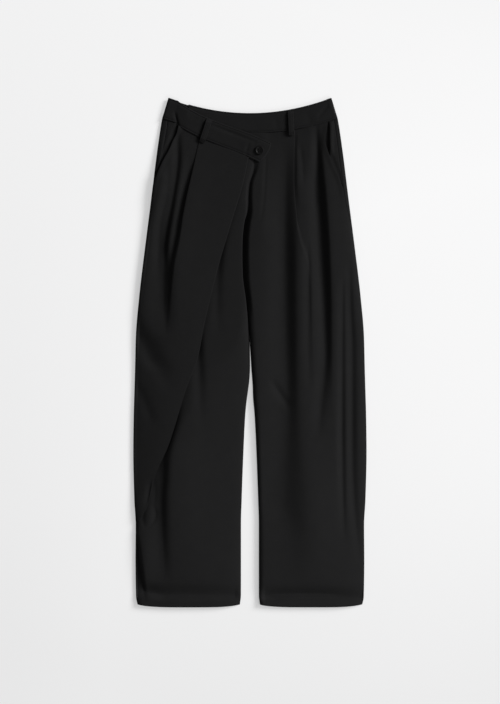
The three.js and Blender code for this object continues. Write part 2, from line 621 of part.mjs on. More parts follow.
// The back waistband lies on the surface and turns over at both hips onto the front.
const BAND_BEHIND = 1.5;      // the back's top edge keeps just behind the front's
const BAND_TURNS = 5;
function waistbandBack() {
  const flat = [...FLAT_LINES, ...FLAT_LINES_INNER];
  const floorLines = [...flat.map((x) => -x), 0, ...flat.toReversed()];
  const grid = fractions(3).map((v) => {
    const half = lerp(HIP_HALF, WAIST_HALF, v) - BAND / 2;
    const rise = (x, behind) => {
      const onto = x / half;
      return lerp(waistSeam(onto * HIP_HALF), waistTop(onto * WAIST_HALF) - behind, v);
    };
    const turned = (side, end, q) => {
      const turn = lerp(Math.PI / 2, -Math.PI / 2, q);
      const x = side * (half - BAND_ROLL * (1 - Math.cos(turn)));
      const height = lerp(BAND / 2, end.z, (1 + Math.sin(turn)) / 2);
      return spot(x, rise(x, turn > 0 ? 0 : BAND_BEHIND), height);
    };
    const ended = (end) => {
      const x = lerp(end.low, end.top, v);
      return spot(x, rise(x, 0), end.z);
    };
    const turns = fractions(BAND_TURNS);
    return [
      ended(BACK_ENDS.right),
      ...turns.map((q) => turned(-1, BACK_ENDS.right, q)),
      ...floorLines.map((x) => {
        const up = rise(x, BAND_BEHIND);
        return spot(x, up, BAND / 2 + loopLift(x, up));
      }),
      ...turns.toReversed().map((q) => turned(1, BACK_ENDS.left, q)),
      ended(BACK_ENDS.left),
    ];
  });
  addSheet('waistband_back', grid, halfBand);
}

function waistbandFront() {
  const grid = fractions(2).map((v) => fractions(12).map((u) => {
    const end = lerp(BACK_ENDS.left.low, BACK_ENDS.left.top, v) - SEAM;
    const x = lerp(FRONT_END_RIGHT, end, u);
    return spot(x, lerp(waistSeam(x), waistTop(x), v), BAND_FRONT);
  }));
  addSheet('waistband_front', grid, halfBand);
}

// The tab: u runs along it to its buttoned end, v from its lower to its upper edge.
function waistbandWrap() {
  const grid = fractions(4).map((v) => fractions(12).map((u) => {
    const across = ({ x: [from, to] }) => lerp(from, to, u);
    const bulge = TAB_END_BULGE * 4 * v * (1 - v) * u ** 12;
    const x = lerp(across(TAB.low), across(TAB.top), v) + bulge;
    return spot(x, lerp(tabEdge(TAB.low, u), tabEdge(TAB.top, u), v), tabHeight(x));
  }));
  addSheet('waistband_wrap', grid, halfBand);
}

// A belt loop: a folded strip from its head to its foot, each with a place and a height.
const LOOP_BOW = 0.6;         // a front loop stands a little clear of what it lies on
function beltLoop(name, head, foot, bow = LOOP_BOW) {
  const run = new THREE.Vector2(foot.x - head.x, foot.up - head.up).normalize();
  const half = LOOP_WIDTH / 2;
  const grid = fractions(4).map((v) => [-half, 0, half].map((aside) => spot(
    lerp(foot.x, head.x, v) - aside * run.y,
    lerp(foot.up, head.up, v) + aside * run.x,
    lerp(head.z, foot.z, (1 - v) ** 3) + 4 * bow * v * (1 - v),
  )));
  addSheet(name, grid, () => LOOP / 2);
}

// A four-hole button with a raised rim.
async function button() {
  const wasm = await Module();
  wasm.setup();
  const solid = (geometry) => {
    geometry.deleteAttribute('normal');
    geometry.deleteAttribute('uv');
    const merged = mergeVertices(geometry, 1e-4);
    return new wasm.Manifold(new wasm.Mesh({
      numProp: 3,
      vertProperties: new Float32Array(merged.attributes.position.array),
      triVerts: new Uint32Array(merged.index.array),
    }));
  };
  const { radius, thick, hole, holesAt } = BUTTON;
  const profile = [
    { out: 0, high: 0 },
    { out: 0.7, high: 0 },
    { out: 0.94, high: 0.3 },
    { out: 1, high: 0.62 },
    { out: 0.94, high: 0.92 },
    { out: 0.84, high: 1 },
    { out: 0.72, high: 0.88 },
    { out: 0.6, high: 0.6 },
    { out: 0, high: 0.55 },
  ].map(({ out, high }) => new THREE.Vector2(radius * out, thick * high));
  let disc = solid(new THREE.LatheGeometry(profile, 24).rotateX(Math.PI / 2));
  for (const [right, high] of [[1, 1], [1, -1], [-1, 1], [-1, -1]]) {
    const drill = new THREE.CylinderGeometry(hole, hole, thick * 3, 8).rotateX(Math.PI / 2);
    disc = disc.subtract(solid(drill.translate(right * holesAt, high * holesAt, 0)));
  }
  const cut = disc.getMesh();
  const geometry = new THREE.BufferGeometry();
  geometry.setAttribute('position', new THREE.Float32BufferAttribute(cut.vertProperties, 3));
  geometry.setIndex([...cut.triVerts]);
  const mesh = addMesh('button', geometry, HORN);
  mesh.position.set(BUTTON.x, BUTTON.up, tabHeight(BUTTON.x) + BAND / 2 + SEAM + 0.1);
}

// ---------------------------------------------------------------- assembly

backLeg('back_right_leg', -1);
backLeg('back_left_leg', 1);
frontRightLeg();
frontLeftLeg();
wrapPanel();
pocketFacing('pocket_facing_right', -1, wrapFolds);
pocketFacing('pocket_facing_left', 1, leftFolds);
waistbandBack();
waistbandFront();
waistbandWrap();

const onBand = (band) => band + BAND / 2 + SEAM + LOOP / 2;
const leftZ = onBand(BAND_FRONT);
const tabZ = onBand(tabHeight(-90));
beltLoop('loop_front_left', { x: 83.6, up: 1025, z: leftZ }, { x: 85.9, up: 974, z: leftZ + 0.9 });
beltLoop('loop_front_right', { x: -83.5, up: 1006.5, z: tabZ }, { x: -99, up: 959.5, z: tabZ });
for (const [place, x] of Object.entries(BACK_LOOPS)) {
  const head = waistTop(x) - 4;
  const foot = head - BACK_LOOP_LENGTH;
  beltLoop(`loop_back_${place}`, { x, up: head, z: LOOP / 2 }, { x, up: foot, z: LOOP / 2 }, 0);
}
await button();

export default trousers;
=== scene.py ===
"""Barrel leg trousers with a wrapped front, laid out on their back.

Every length in the tables is in millimetres. x runs across, from the wearer's right (-) to the
wearer's left (+); "up" is the distance above the hems; z is the height off the floor. A panel is
a grid whose points lie midway in its cloth, in rows from the hem to the waist. "side" is -1 on
the wearer's right and +1 on the left.
"""

import math

import bmesh
import bpy
import numpy as np
from mathutils import Matrix, Vector


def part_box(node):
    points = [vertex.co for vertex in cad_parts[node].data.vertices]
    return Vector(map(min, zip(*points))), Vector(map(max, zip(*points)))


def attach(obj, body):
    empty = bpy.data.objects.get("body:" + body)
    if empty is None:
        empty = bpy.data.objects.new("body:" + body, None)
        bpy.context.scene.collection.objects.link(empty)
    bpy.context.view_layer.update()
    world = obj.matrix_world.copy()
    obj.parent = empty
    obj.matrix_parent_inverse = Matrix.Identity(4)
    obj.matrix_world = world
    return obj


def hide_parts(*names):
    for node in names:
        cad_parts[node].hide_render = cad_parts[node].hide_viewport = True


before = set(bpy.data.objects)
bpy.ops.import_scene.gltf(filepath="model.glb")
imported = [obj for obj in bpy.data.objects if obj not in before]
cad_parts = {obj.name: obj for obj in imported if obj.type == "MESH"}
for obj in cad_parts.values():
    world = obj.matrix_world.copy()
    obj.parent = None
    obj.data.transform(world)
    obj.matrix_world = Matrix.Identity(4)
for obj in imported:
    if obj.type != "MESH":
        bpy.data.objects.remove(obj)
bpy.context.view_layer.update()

MM = 0.001
HEM_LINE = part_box("back_left_leg")[0].y  # where "up" is counted from

# ------------------------------ the cut and how it lies

CLOTH = 1.0            # thickness of the suiting
BAND = 2.4             # thickness of a waistband
LOOP = 1.4             # thickness of a belt loop
SEAM = 0.3             # between pieces sewn edge to edge
LAYER = CLOTH + 0.4    # from one layer of cloth to the next
OVER = LAYER + 0.2     # from the bed, where the lowest front layer lies, to the wrap
FLOOR = CLOTH / 2

LENGTH = 1051
WAIST_DIP = 31.8
WAIST_HALF = 169
HIP_HALF = 181.5
SEAM_MIDDLE = 979.5
SEAM_DIP = 30
HEM_RISE = 5
HEM_DEPTH = 21
CROTCH = 557


def table(names, *rows):
    """Rows of numbers under named columns."""
    return [dict(zip(names.split(), row)) for row in rows]


OUTLINE = table(
    "up edge gap",
    (0, 231.5, 20.5),
    (21, 235.6, 18.5),
    (96, 236.7, 18.4),
    (170, 236.2, 18.4),
    (220, 239.0, 17.0),
    (320, 241.3, 13.3),
    (395, 240.4, 9.6),
    (444, 239.0, 5.0),
    (500, 237.4, 1.0),
    (557, 236.0, 0.15),
    (640, 229.0, 0.15),
    (740, 217.1, 0.15),
    (840, 204.3, 0.15),
    (940, 192.0, 0.15),
    (1010, 181.5, 0.15),
    (1030, 177.0, 0.15),
    (1052, 169.0, 0.15),
)
CENTRE = table(
    "up x",
    (0, 0),
    (420, 0),
    (468, 1.8),
    (557, -1.0),
    (582, -3.0),
    (634, -8.0),
    (686, -14.5),
    (727, -15.5),
    (758, -15.0),
    (789, -12.0),
    (820, -7.2),
    (841, -7.4),
    (872, -5.6),
    (903, 4.2),
    (924, 8.4),
    (952, 8.4),
    (985, -16.0),
)
RIGHT_LOFT = table(
    "up crown side inner side_roll inner_roll",
    (0, 10.4, 3.8, 3.6, 16, 50),
    (60, 11.4, 4.4, 3.8, 20, 110),
    (170, 12.0, 5.0, 4.0, 40, 150),
    (320, 13.4, 4.4, 4.0, 88, 150),
    (450, 13.6, 4.6, 3.8, 92, 120),
    (557, 13.2, 5.8, 3.6, 64, 26),
    (634, 13.4, 6.6, 12.0, 40, 12),
    (700, 14.0, 7.4, 13.2, 30, 12),
    (800, 13.8, 7.4, 12.8, 22, 12),
    (880, 11.4, 6.4, 10.0, 17, 14),
    (940, 7.6, 4.6, 5.2, 14, 14),
    (980, 4.7, 3.6, 4.5, 11, 10),
    (1010, 4.1, 3.2, 4.1, 9, 10),
)
LEFT_LOFT = table(
    "up crown side inner side_roll inner_roll",
    (0, 10.4, 3.6, 3.6, 60, 9),
    (60, 11.4, 4.1, 4.0, 96, 11),
    (170, 11.6, 4.8, 4.4, 110, 13),
    (320, 13.4, 5.4, 4.4, 90, 13),
    (450, 13.8, 5.8, 4.0, 66, 14),
    (557, 13.2, 6.0, 3.0, 44, 14),
    (634, 13.6, 6.2, 2.4, 32, 12),
    (700, 13.8, 6.4, 2.2, 28, 14),
    (800, 12.6, 6.2, 2.4, 22, 14),
    (880, 9.8, 5.6, 3.2, 17, 13),
    (940, 7.0, 4.4, 5.2, 14, 14),
    (980, 4.7, 3.6, 4.5, 11, 10),
    (1010, 4.1, 3.2, 4.1, 9, 10),
)
RIGHT_HIP = table(
    "up seam mouth",
    (0, 0, 0),
    (868, 0, 0),
    (892, 4.8, 4.8),
    (907, 8.6, 9.2),
    (922, 9.6, 14.5),
    (943, 10.8, 23.3),
    (964, 12.0, 29.5),
    (981, 13.0, 35.0),
    (1010, 13.2, 36.5),
)
LEFT_HIP = table(
    "up seam mouth",
    (0, 0, 0),
    (765, 0, 0),
    (800, 4.0, 4.0),
    (838, 7.4, 7.4),
    (862, 8.0, 8.2),
    (876, 8.2, 11.8),
    (891, 8.4, 16.1),
    (911, 8.6, 23.0),
    (937, 8.4, 29.0),
    (959, 8.0, 32.7),
    (990, 7.4, 24.5),
    (1010, 7.2, 19.5),
)
WRAP_EDGE = table(
    "up x",
    (176, -229.0),
    (214, -210.0),
    (266, -198.0),
    (334, -168.0),
    (448, -132.3),
    (516, -107.4),
    (584, -93.8),
    (642, -80.5),
    (711, -62.9),
    (756, -49.5),
    (795, -37.7),
    (824, -28.8),
    (858, -18.4),
    (891, -10.1),
    (930, -2.4),
)
WRAP_FOOT = 176

# Knife pleats, folded away from the centre. "lap" is how far the cloth doubles back under the
# fold and "step" how far, in layers, the fold stands above what it covers.
LEFT_PLEAT = table(
    "up x lap step",
    (0, 152, 0, 0),
    (300, 148, 0, 0),
    (560, 132, 0, 0),
    (650, 127, 0, 0),
    (706, 121, 0, 0.4),
    (760, 105, 0, 0.6),
    (806, 96.5, 3, 0.5),
    (882, 91.0, 9, 0.35),
    (990, 92.4, 13, 0.35),
)
RIGHT_PLEAT = table(
    "up x lap step",
    (0, -235, 0, 0),
    (176, -233.2, 0, 0),
    (266, -221, 0, 0),
    (448, -192, 0, 0),
    (597, -170.0, 0, 0),
    (704, -158.3, 0, 0.8),
    (752, -148.4, 0, 1),
    (838, -132.6, 6, 1),
    (890, -120.9, 10, 0.9),
    (927, -112.5, 12, 0.5),
    (990, -99.0, 13, 0.35),
)

# Creases, each with its own rows from its foot to its head. It sinks by "depth" (a ridge rises by
# a negative one), and its two slopes reach "left" and "right" of its lowest line.
FOLD = "up x depth left right"
LEFT_FOLDS = [
    table(  # the long trough below the pleat
        FOLD,
        (40, 92, 0, 50, 34),
        (137, 84, 1.6, 46, 30),
        (220, 66, 4.6, 40, 30),
        (303, 68, 5.8, 37, 27),
        (385, 73, 6.8, 37, 22),
        (427, 75.5, 7.0, 37, 18),
        (530, 74, 8.6, 34, 17),
        (634, 73, 9.2, 31, 16),
        (738, 71.5, 9.2, 28, 16),
        (820, 71.5, 8.0, 26, 15),
        (880, 72.5, 5.6, 24, 14),
        (925, 74, 2.6, 22, 13),
        (965, 75, 0, 22, 13),
    ),
    table(  # the ridge that it climbs to
        FOLD,
        (40, 122, 0, 30, 40),
        (137, 124, -4.4, 38, 50),
        (220, 122, -6.8, 38, 50),
        (303, 113, -4.6, 28, 46),
        (385, 104, -2.6, 16, 34),
        (530, 100, -3.2, 12, 30),
        (690, 99, -3.2, 11, 28),
        (790, 99, -1.4, 10, 26),
        (850, 99, 0, 10, 24),
    ),
    table(
        FOLD,
        (430, 124, 0, 8, 5),
        (530, 121.5, 1.8, 8, 5),
        (634, 121.0, 2.8, 8, 5),
        (700, 120.5, 2.6, 8, 5),
        (760, 118, 0, 7, 5),
    ),
    table(  # beside the pleat
        FOLD,
        (815, 108, 0, 5, 14),
        (850, 101, -1.4, 5, 14),
        (882, 98.5, -2.2, 4.5, 14),
        (940, 98.5, -2.2, 4.5, 14),
        (972, 99.5, -1.2, 4.5, 14),
        (990, 100, 0, 5, 14),
    ),
    table(  # the narrow fold from the pocket
        FOLD,
        (345, 140, 0, 14, 10),
        (390, 143.5, 2.4, 13, 10),
        (430, 147.5, 3.6, 13, 10),
        (480, 152.5, 4.6, 14, 10),
        (530, 156.5, 5.4, 15, 9.5),
        (593, 155.5, 6.8, 16, 9.5),
        (634, 155, 8.0, 17, 9.5),
        (738, 149, 8.8, 18, 9.5),
        (841, 143, 8.4, 17, 9),
        (900, 140.5, 7.4, 13, 8),
        (950, 139, 5.0, 9, 7),
        (985, 137.5, 1.6, 8, 6),
        (1005, 136, 0, 8, 6),
    ),
    table(
        FOLD,
        (380, 172, 0, 9, 24),
        (530, 171, -2.8, 8, 26),
        (738, 167, -4.4, 8, 28),
        (850, 160, -4.0, 8, 26),
        (920, 154, -1.6, 8, 20),
        (965, 152, 0, 8, 20),
    ),
    table(
        FOLD,
        (130, 195, 0, 9, 6),
        (220, 192, 2.6, 8, 6),
        (303, 190.5, 4.0, 8, 7),
        (385, 190, 4.6, 8, 7),
        (530, 190.5, 3.0, 8, 5.5),
        (634, 191, 2.0, 8, 4.5),
        (690, 191, 0, 8, 5),
    ),
    table(
        FOLD,
        (80, 227, 0, 8, 6),
        (137, 222, 1.2, 9, 7),
        (220, 214.5, 3.0, 10, 8),
        (303, 211, 4.4, 10, 9),
        (385, 210.5, 5.0, 10, 9),
        (530, 210.5, 4.0, 10, 8),
        (634, 206.5, 2.8, 10, 6),
        (730, 205, 0, 9, 5),
    ),
    table(
        FOLD,
        (410, 80, 0, 9, 7),
        (427, 71, 2.0, 9, 7),
        (444, 60, 2.4, 9, 7),
        (458, 52, 1.8, 9, 7),
        (476, 45, 0, 9, 7),
    ),
    table(
        FOLD,
        (868, 111, 0, 6, 5),
        (897, 109.5, 1.0, 6, 5),
        (930, 106.5, 1.2, 6, 5),
        (964, 104, 0, 6, 5),
    ),
    table(  # the fly's stitching
        FOLD,
        (790, 22, 0, 4, 2.5),
        (822, 27, 0.8, 4, 2.5),
        (870, 31, 1.0, 4, 2.5),
        (915, 33, 0.8, 4, 2.5),
        (940, 34, 0, 4, 2.5),
    ),
]
UNDER_FOLDS = [
    table(  # beneath the wrap's free edge
        FOLD,
        (172, -231, 0, 7, 7),
        (190, -222, 1.2, 7, 7),
        (214, -213, 1.5, 8, 7.5),
        (250, -205, 1.3, 9, 7.5),
        (300, -189, 1.2, 9, 8),
        (385, -158, 2.2, 9, 8.5),
        (448, -136, 1.8, 9, 8.5),
        (530, -108, 1.2, 9, 8),
        (642, -84, 1.4, 9, 8),
        (711, -67, 1.6, 9, 8),
        (756, -54, 1.6, 9, 8),
        (824, -33, 1.2, 8, 7),
        (891, -14, 0, 8, 7),
    ),
    table(
        FOLD,
        (555, -66, 0, 10, 10),
        (640, -68, 2.2, 11, 9),
        (700, -65, 3.4, 11, 9),
        (756, -60, 3.2, 10, 9),
        (800, -56, 0, 10, 9),
    ),
    table(
        FOLD,
        (365, -100, 0, 11, 10),
        (427, -103, 1.8, 12, 10),
        (490, -105, 4.0, 12, 9.5),
        (530, -107, 5.0, 12, 9.5),
        (584, -109, 3.0, 11, 9),
        (620, -109, 0, 10, 9),
    ),
    table(
        FOLD,
        (50, -176, 0, 16, 10),
        (96, -179, 2.2, 18, 10),
        (137, -181, 3.2, 20, 9),
        (178, -182.5, 4.0, 22, 9),
        (220, -183, 4.4, 22, 8.5),
        (261, -180, 4.6, 22, 8.5),
        (303, -178, 4.8, 20, 8.5),
        (345, -168.5, 5.2, 14, 8.5),
        (385, -155, 3.2, 12, 8.5),
        (425, -143, 0, 12, 8),
    ),
    table(  # falling away to the inside of the leg
        FOLD,
        (40, -152, -1.2, 28, 90),
        (137, -157, -5.2, 28, 72),
        (220, -159, -7.8, 27, 68),
        (300, -157, -7.8, 25, 64),
        (345, -147, -5.6, 21, 56),
        (420, -116, -3.0, 20, 56),
        (520, -80, 0, 20, 60),
    ),
    table(  # the side, turned in above the hem
        FOLD,
        (6, -217, 0, 30, 6),
        (24, -220, 2.4, 30, 6),
        (45, -223, 4.8, 30, 6),
        (75, -227.5, 5.6, 30, 6),
        (110, -232, 5.0, 30, 6),
        (150, -236, 0, 30, 6),
    ),
    table(  # and the ridge beside it
        FOLD,
        (30, -214, 0, 8, 26),
        (60, -218, -2.0, 8, 26),
        (110, -223, -2.6, 8, 28),
        (150, -226, -1.5, 8, 28),
        (185, -228, 0, 8, 28),
    ),
    table(  # puckers below the wrap's foot
        FOLD,
        (206, -199, 0, 7, 4),
        (222, -197, 1.0, 7, 4),
        (244, -196, 1.1, 7, 4),
        (268, -198, 0, 7, 4),
    ),
    table(
        FOLD,
        (160, -213, 0, 6, 3.5),
        (168, -206, 1.0, 6, 3.5),
        (178, -197.5, 1.2, 6, 3.5),
        (191, -194, 1.2, 6, 3.5),
        (203, -196, 1.0, 6, 3.5),
        (213, -203, 0, 6, 3.5),
    ),
    table(
        FOLD,
        (160, -213, 0, 5, 4),
        (172, -219, 0.9, 5, 4),
        (185, -221, 0.9, 5, 4),
        (200, -219, 0, 5, 4),
    ),
    table(
        FOLD,
        (160, -208, 0, 8, 8),
        (176, -206, -0.7, 8, 8),
        (190, -206, -0.8, 8, 8),
        (205, -209, 0, 8, 8),
    ),
]
WRAP_FOLDS = [
    table(  # from the hip
        FOLD,
        (560, -176, 0, 24, 12),
        (600, -178.5, 3.4, 30, 12),
        (634, -179.5, 6.0, 34, 12),
        (696, -178.5, 8.2, 36, 10.5),
        (738, -178, 9.2, 32, 8.5),
        (789, -171, 8.4, 26, 8),
        (831, -162.5, 7.0, 20, 7),
        (862, -157.5, 6.8, 16, 7),
        (893, -152.5, 6.0, 13, 7),
        (924, -149.5, 4.8, 10, 7),
        (965, -149, 2.2, 8, 6),
        (985, -148, 0, 8, 5),
    ),
    table(
        FOLD,
        (680, -192, 0, 9, 7),
        (738, -190, 1.7, 9, 7),
        (789, -187, 1.9, 9, 7),
        (831, -178, 1.9, 9, 7),
        (862, -171.5, 1.7, 8, 6),
        (893, -169.5, 1.5, 7, 6),
        (925, -168, 0, 7, 6),
    ),
    table(  # the wrap stands higher than the hip beside it
        FOLD,
        (480, -128, 0, 40, 60),
        (560, -140, -2.6, 34, 80),
        (640, -147, -4.6, 27, 90),
        (740, -145, -4.2, 26, 90),
        (830, -132, -2.2, 24, 80),
        (920, -120, 0, 24, 80),
    ),
    table(  # beneath the pleat
        FOLD,
        (560, -175, 0, 8, 4),
        (640, -168, 1.2, 9, 4),
        (704, -164, 3.0, 9, 4.5),
        (752, -155, 4.2, 10, 4.5),
        (838, -139, 4.2, 11, 4.5),
        (890, -128, 2.6, 11, 4.5),
        (930, -117, 0, 10, 4),
    ),
    table(  # slanting down from the side
        FOLD,
        (435, -160, 0, 16, 26),
        (481, -182, 2.8, 20, 24),
        (512, -203, 5.6, 20, 26),
        (545, -220, 5.8, 18, 24),
        (580, -233, 3.0, 15, 18),
        (608, -240, 0, 10, 14),
    ),
    table(
        FOLD,
        (360, -196, 0, 12, 13),
        (406, -211, 1.5, 12, 12),
        (440, -226, 1.7, 12, 12),
        (470, -237, 0, 10, 10),
    ),
    table(  # falling away to the side above its foot
        FOLD,
        (200, -232, 0, 20, 46),
        (290, -226, 1.2, 24, 46),
        (400, -226, 1.6, 24, 48),
        (470, -230, 1.2, 24, 46),
        (540, -236, 0, 20, 40),
    ),
    table(  # a pucker above its foot
        FOLD,
        (206, -214, 0, 6, 4),
        (222, -211, 1.6, 6, 4),
        (240, -208, 1.8, 6, 4),
        (264, -205, 0, 6, 4),
    ),
    table(  # along the hip's seam
        FOLD,
        (890, -194, 0, 4, 5),
        (924, -187, 1.4, 4, 5),
        (945, -183, 1.5, 4, 5),
        (965, -178.5, 1.4, 4, 5),
        (986, -175.5, 1.2, 4, 4),
        (1004, -170.5, 0, 4, 4),
    ),
]
NO_FOLDS = []

TAB_TOP = {"x": (-149.5, 42.8), "up": (1044.5, 957.0), "sag": 13.7, "level": 0.78}
TAB_LOW = {"x": (-149.5, 18.8), "up": (995.3, 919.0), "sag": 7.8, "level": 0.68}
TAB_END_BULGE = 5
TAB_HEIGHT = table("x z", (-150, 7.4), (-128, 8.9), (-40, 9.1), (15, 10.9), (45, 11.1))

BAND_FRONT = 6.1
BAND_ROLL = 5
RIGHT_END = {"low": -149.9, "top": -149.9, "z": 7.4}
LEFT_END = {"low": 164.4, "top": 160.4, "z": BAND_FRONT}
FRONT_END_RIGHT = -127

# Creases that slant: from one end to the other, how far they reach aside and how deep they are.
PRESSED = table(
    "x up to_x to_up reach depth",
    (-156, 1024, -146.0, 986, 2.6, 3.0),
    (163.5, 1036, 140, 1012, 2.6, 1.8),
    (-84, 997, 14, 959, 3.6, 1.7),
    (-2, 960, -9, 932, 3.5, 0.8),
    (-128, 1020, -96, 1006, 8, 0.7),
    (52, 1012, 58, 984, 6, 0.6),
    (118, 1022, 126, 994, 7, 0.7),
)

LOOP_WIDTH = 11.8
BACK_LOOP_LENGTH = 51
BACK_LOOPS = {"right": -98, "centre": 0, "left": 98}
LOOP_CLEAR = 9
LOOP_SLOPE = 12

# ------------------------------ curves and heights


def lerp(a, b, t):
    return a + (b - a) * t


def clamp(t):
    return np.clip(t, 0.0, 1.0)


def smooth(start, end, value):
    t = clamp((value - start) / (end - start))
    return t * t * (3 - 2 * t)


def between(rise, fall, value):
    """1 between two fades, each given by where it starts and ends."""
    return smooth(*rise, value) * smooth(*fall, value)


def bump(aside, reach):
    return np.exp(-((aside / reach) ** 2))


SETTLING_STEPS = 8


def settle(start, following):
    """The value that a function of itself settles on."""
    value = start
    for _ in range(SETTLING_STEPS):
        value = following(value)
    return value


def curve(rows, column, along="up"):
    """A smooth curve through one column of a table, which never overshoots its rows."""
    at = np.array([row[along] for row in rows], float)
    value = np.array([row[column] for row in rows], float)
    steps = np.diff(at)
    slopes = np.diff(value) / steps
    before, after = slopes[:-1], slopes[1:]
    total = np.where(before * after > 0, before + after, 1)
    middle = np.where(before * after > 0, 2 * before * after / total, 0)
    bends = np.concatenate([slopes[:1], middle, slopes[-1:]])

    def read(place):
        place = np.asarray(place, float)
        i = np.clip(np.searchsorted(at, place, side="right") - 1, 0, len(steps) - 1)
        t = clamp((place - at[i]) / steps[i])
        low = value[i] * (2 * t**3 - 3 * t**2 + 1) + bends[i] * steps[i] * (t**3 - 2 * t**2 + t)
        high = value[i + 1] * (3 * t**2 - 2 * t**3) + bends[i + 1] * steps[i] * (t**3 - t**2)
        return low + high

    return read


outline = curve(OUTLINE, "edge")
open_gap = curve(OUTLINE, "gap")
centre = curve(CENTRE, "x")
LOFTS = {-1: RIGHT_LOFT, 1: LEFT_LOFT}
crown, side_height, inner_height, side_roll, inner_roll = (
    {side: curve(loft, key) for side, loft in LOFTS.items()}
    for key in ("crown", "side", "inner", "side_roll", "inner_roll")
)
wrap_edge = curve(WRAP_EDGE, "x")
tab_height = curve(TAB_HEIGHT, "z", "x")
seams = {-1: curve(RIGHT_HIP, "seam"), 1: curve(LEFT_HIP, "seam")}
mouths = {-1: curve(RIGHT_HIP, "mouth"), 1: curve(LEFT_HIP, "mouth")}


def edge(up):
    return outline(up) - CLOTH / 2


def gap(up):
    return open_gap(up) + CLOTH / 2


def waist_top(x):
    return LENGTH - WAIST_DIP * (1 - (x / WAIST_HALF) ** 2)


def waist_seam(x):
    return SEAM_MIDDLE + SEAM_DIP * (x / HIP_HALF) ** 2


def sagging(line, u):
    """A long edge of the tab, which sags as far as "level" and bulges by up to 1 mm beyond it."""
    return lerp(*line["up"], u) - 4 * line["sag"] * u * (1 - u) * (1 - u / line["level"])


def tab_low(x):
    start, end = TAB_LOW["x"]
    return sagging(TAB_LOW, (x - start) / (end - start))


def roll(t):
    """A quarter turn: 0 at the edge, 1 where the cloth lies level again."""
    t = clamp(t)
    return np.sqrt(t * (2 - t))


def sink(folds, x, up):
    """How far the creases of a table move the cloth."""
    height = 0.0 * (x + up)
    for fold in folds:
        line, depth, left, right = (curve(fold, key)(up) for key in ("x", "depth", "left", "right"))
        aside = x - line
        height = height - depth * bump(aside, np.where(aside < 0, left, right))
    return height


def pressed(x, up):
    """How far the slanting creases move the cloth."""
    height = 0.0 * (x + up)
    for crease in PRESSED:
        run = np.array([crease["to_x"] - crease["x"], crease["to_up"] - crease["up"]])
        length = np.hypot(*run)
        aside_x, aside_up = x - crease["x"], up - crease["up"]
        along = (aside_x * run[0] + aside_up * run[1]) / length**2
        off = (aside_x * run[1] - aside_up * run[0]) / length
        fade = np.sqrt(4 * clamp(along) * clamp(1 - along))
        height = height - crease["depth"] * fade * bump(off, crease["reach"])
    return height


# Creases die away within this distance of the inner edge, and of the side.
HELD_INNER = 12
HELD_SIDE_AT_HEM = 3
HELD_SIDE = 7


def held_side(from_side, up):
    return clamp(from_side / lerp(HELD_SIDE_AT_HEM, HELD_SIDE, smooth(110, 200, up)))


# The dip above each hem: deepest near the side on the right leg, inside the middle on the left.
HOLLOWS = {
    -1: table("x depth", (-232, 3.4), (-205, 7.0), (-130, 6.4), (-70, 5.2), (-20, 3.0)),
    1: table("x depth", (20, 5.6), (60, 9.0), (110, 9.2), (165, 8.4), (200, 6.4), (232, 3.2)),
}
hollows = {side: curve(rows, "depth", "x") for side, rows in HOLLOWS.items()}
LEG_MIDDLE = 126
LEG_HALF = 105
HOLLOW_UP = 23.4
HOLLOW_SIDE = 2        # lower than that on the left leg, higher on the right
HOLLOW_BOW = 2         # lower at a leg's two edges
HOLLOW_CORNER = 6      # higher at the right leg's outer corner
HOLLOW_BELOW = 8
HOLLOW_ABOVE = 16


def hem_hollow(side, x, up):
    across = (abs(x) - LEG_MIDDLE) / LEG_HALF
    corner = HOLLOW_CORNER * smooth(-175, -215, x)
    above = up - (HOLLOW_UP - HOLLOW_SIDE * side - HOLLOW_BOW * across**2 + corner)
    return -hollows[side](x) * bump(above, np.where(above < 0, HOLLOW_BELOW, HOLLOW_ABOVE))


LOWEST = 1.9           # the middle of a front layer is kept at least this high
LOWEST_AT_HEM = 3.3


def above_the_back(up, z):
    """Holds a front layer up over the flat back.

    At the left hem this isn't enough: 16 to 22 mm up, the two turned-up hems still cross.
    """
    return np.maximum(z, lerp(LOWEST, LOWEST_AT_HEM, smooth(34, 22, up)))


# Where the right side falls away slackly, and where the left leg falls to the centre in an S.
SLACK = ((190, 280), (570, 490))
STEEP = ((585, 640), (960, 900))


def bed(side, x, up, folds=NO_FOLDS, inset=0):
    """Height of the lowest front layer, which rolls down to the side and to the inner edge."""
    top = crown[side](up)
    from_side = edge(up) - inset - side * x
    from_inner = side * (x - centre(up)) - gap(up)
    outer = clamp(from_side / side_roll[side](up))
    slack = between(*SLACK, up) if side < 0 else 0
    side_drop = (top - side_height[side](up)) * (1 - lerp(roll(outer), outer * (2 - outer), slack))
    inner = from_inner / inner_roll[side](up)
    steep = between(*STEEP, up) if side > 0 else 0
    inner_fall = 1 - lerp(roll(inner), smooth(0, 1, inner), steep)
    inner_drop = (top - inner_height[side](up)) * inner_fall
    free = held_side(from_side, up) * clamp(from_inner / HELD_INNER)
    return top - side_drop - inner_drop + free * (sink(folds, x, up) + hem_hollow(side, x, up))


OVER_ROLL = 18


def layer_over(side, x, up):
    return OVER * roll((edge(up) + x) / OVER_ROLL) if side < 0 else 0 * (x + up)


MOUTH_GAPES = {-1: 1.5, 1: 1.2}
MOUTH_LIP = (11, 0)
MOUTH_HEAD = (1005, 985)
POCKET_WIDTH = (62, 34)
POCKET_FOOT = (815, 858)


def pocket_lift(side, x, up):
    past = edge(up) - side * x - mouths[side](up)
    gapes = MOUTH_GAPES[side] * smooth(*MOUTH_LIP, past) * smooth(*MOUTH_HEAD, up)
    return (LAYER * smooth(*POCKET_WIDTH, past) + gapes) * smooth(*POCKET_FOOT, up)


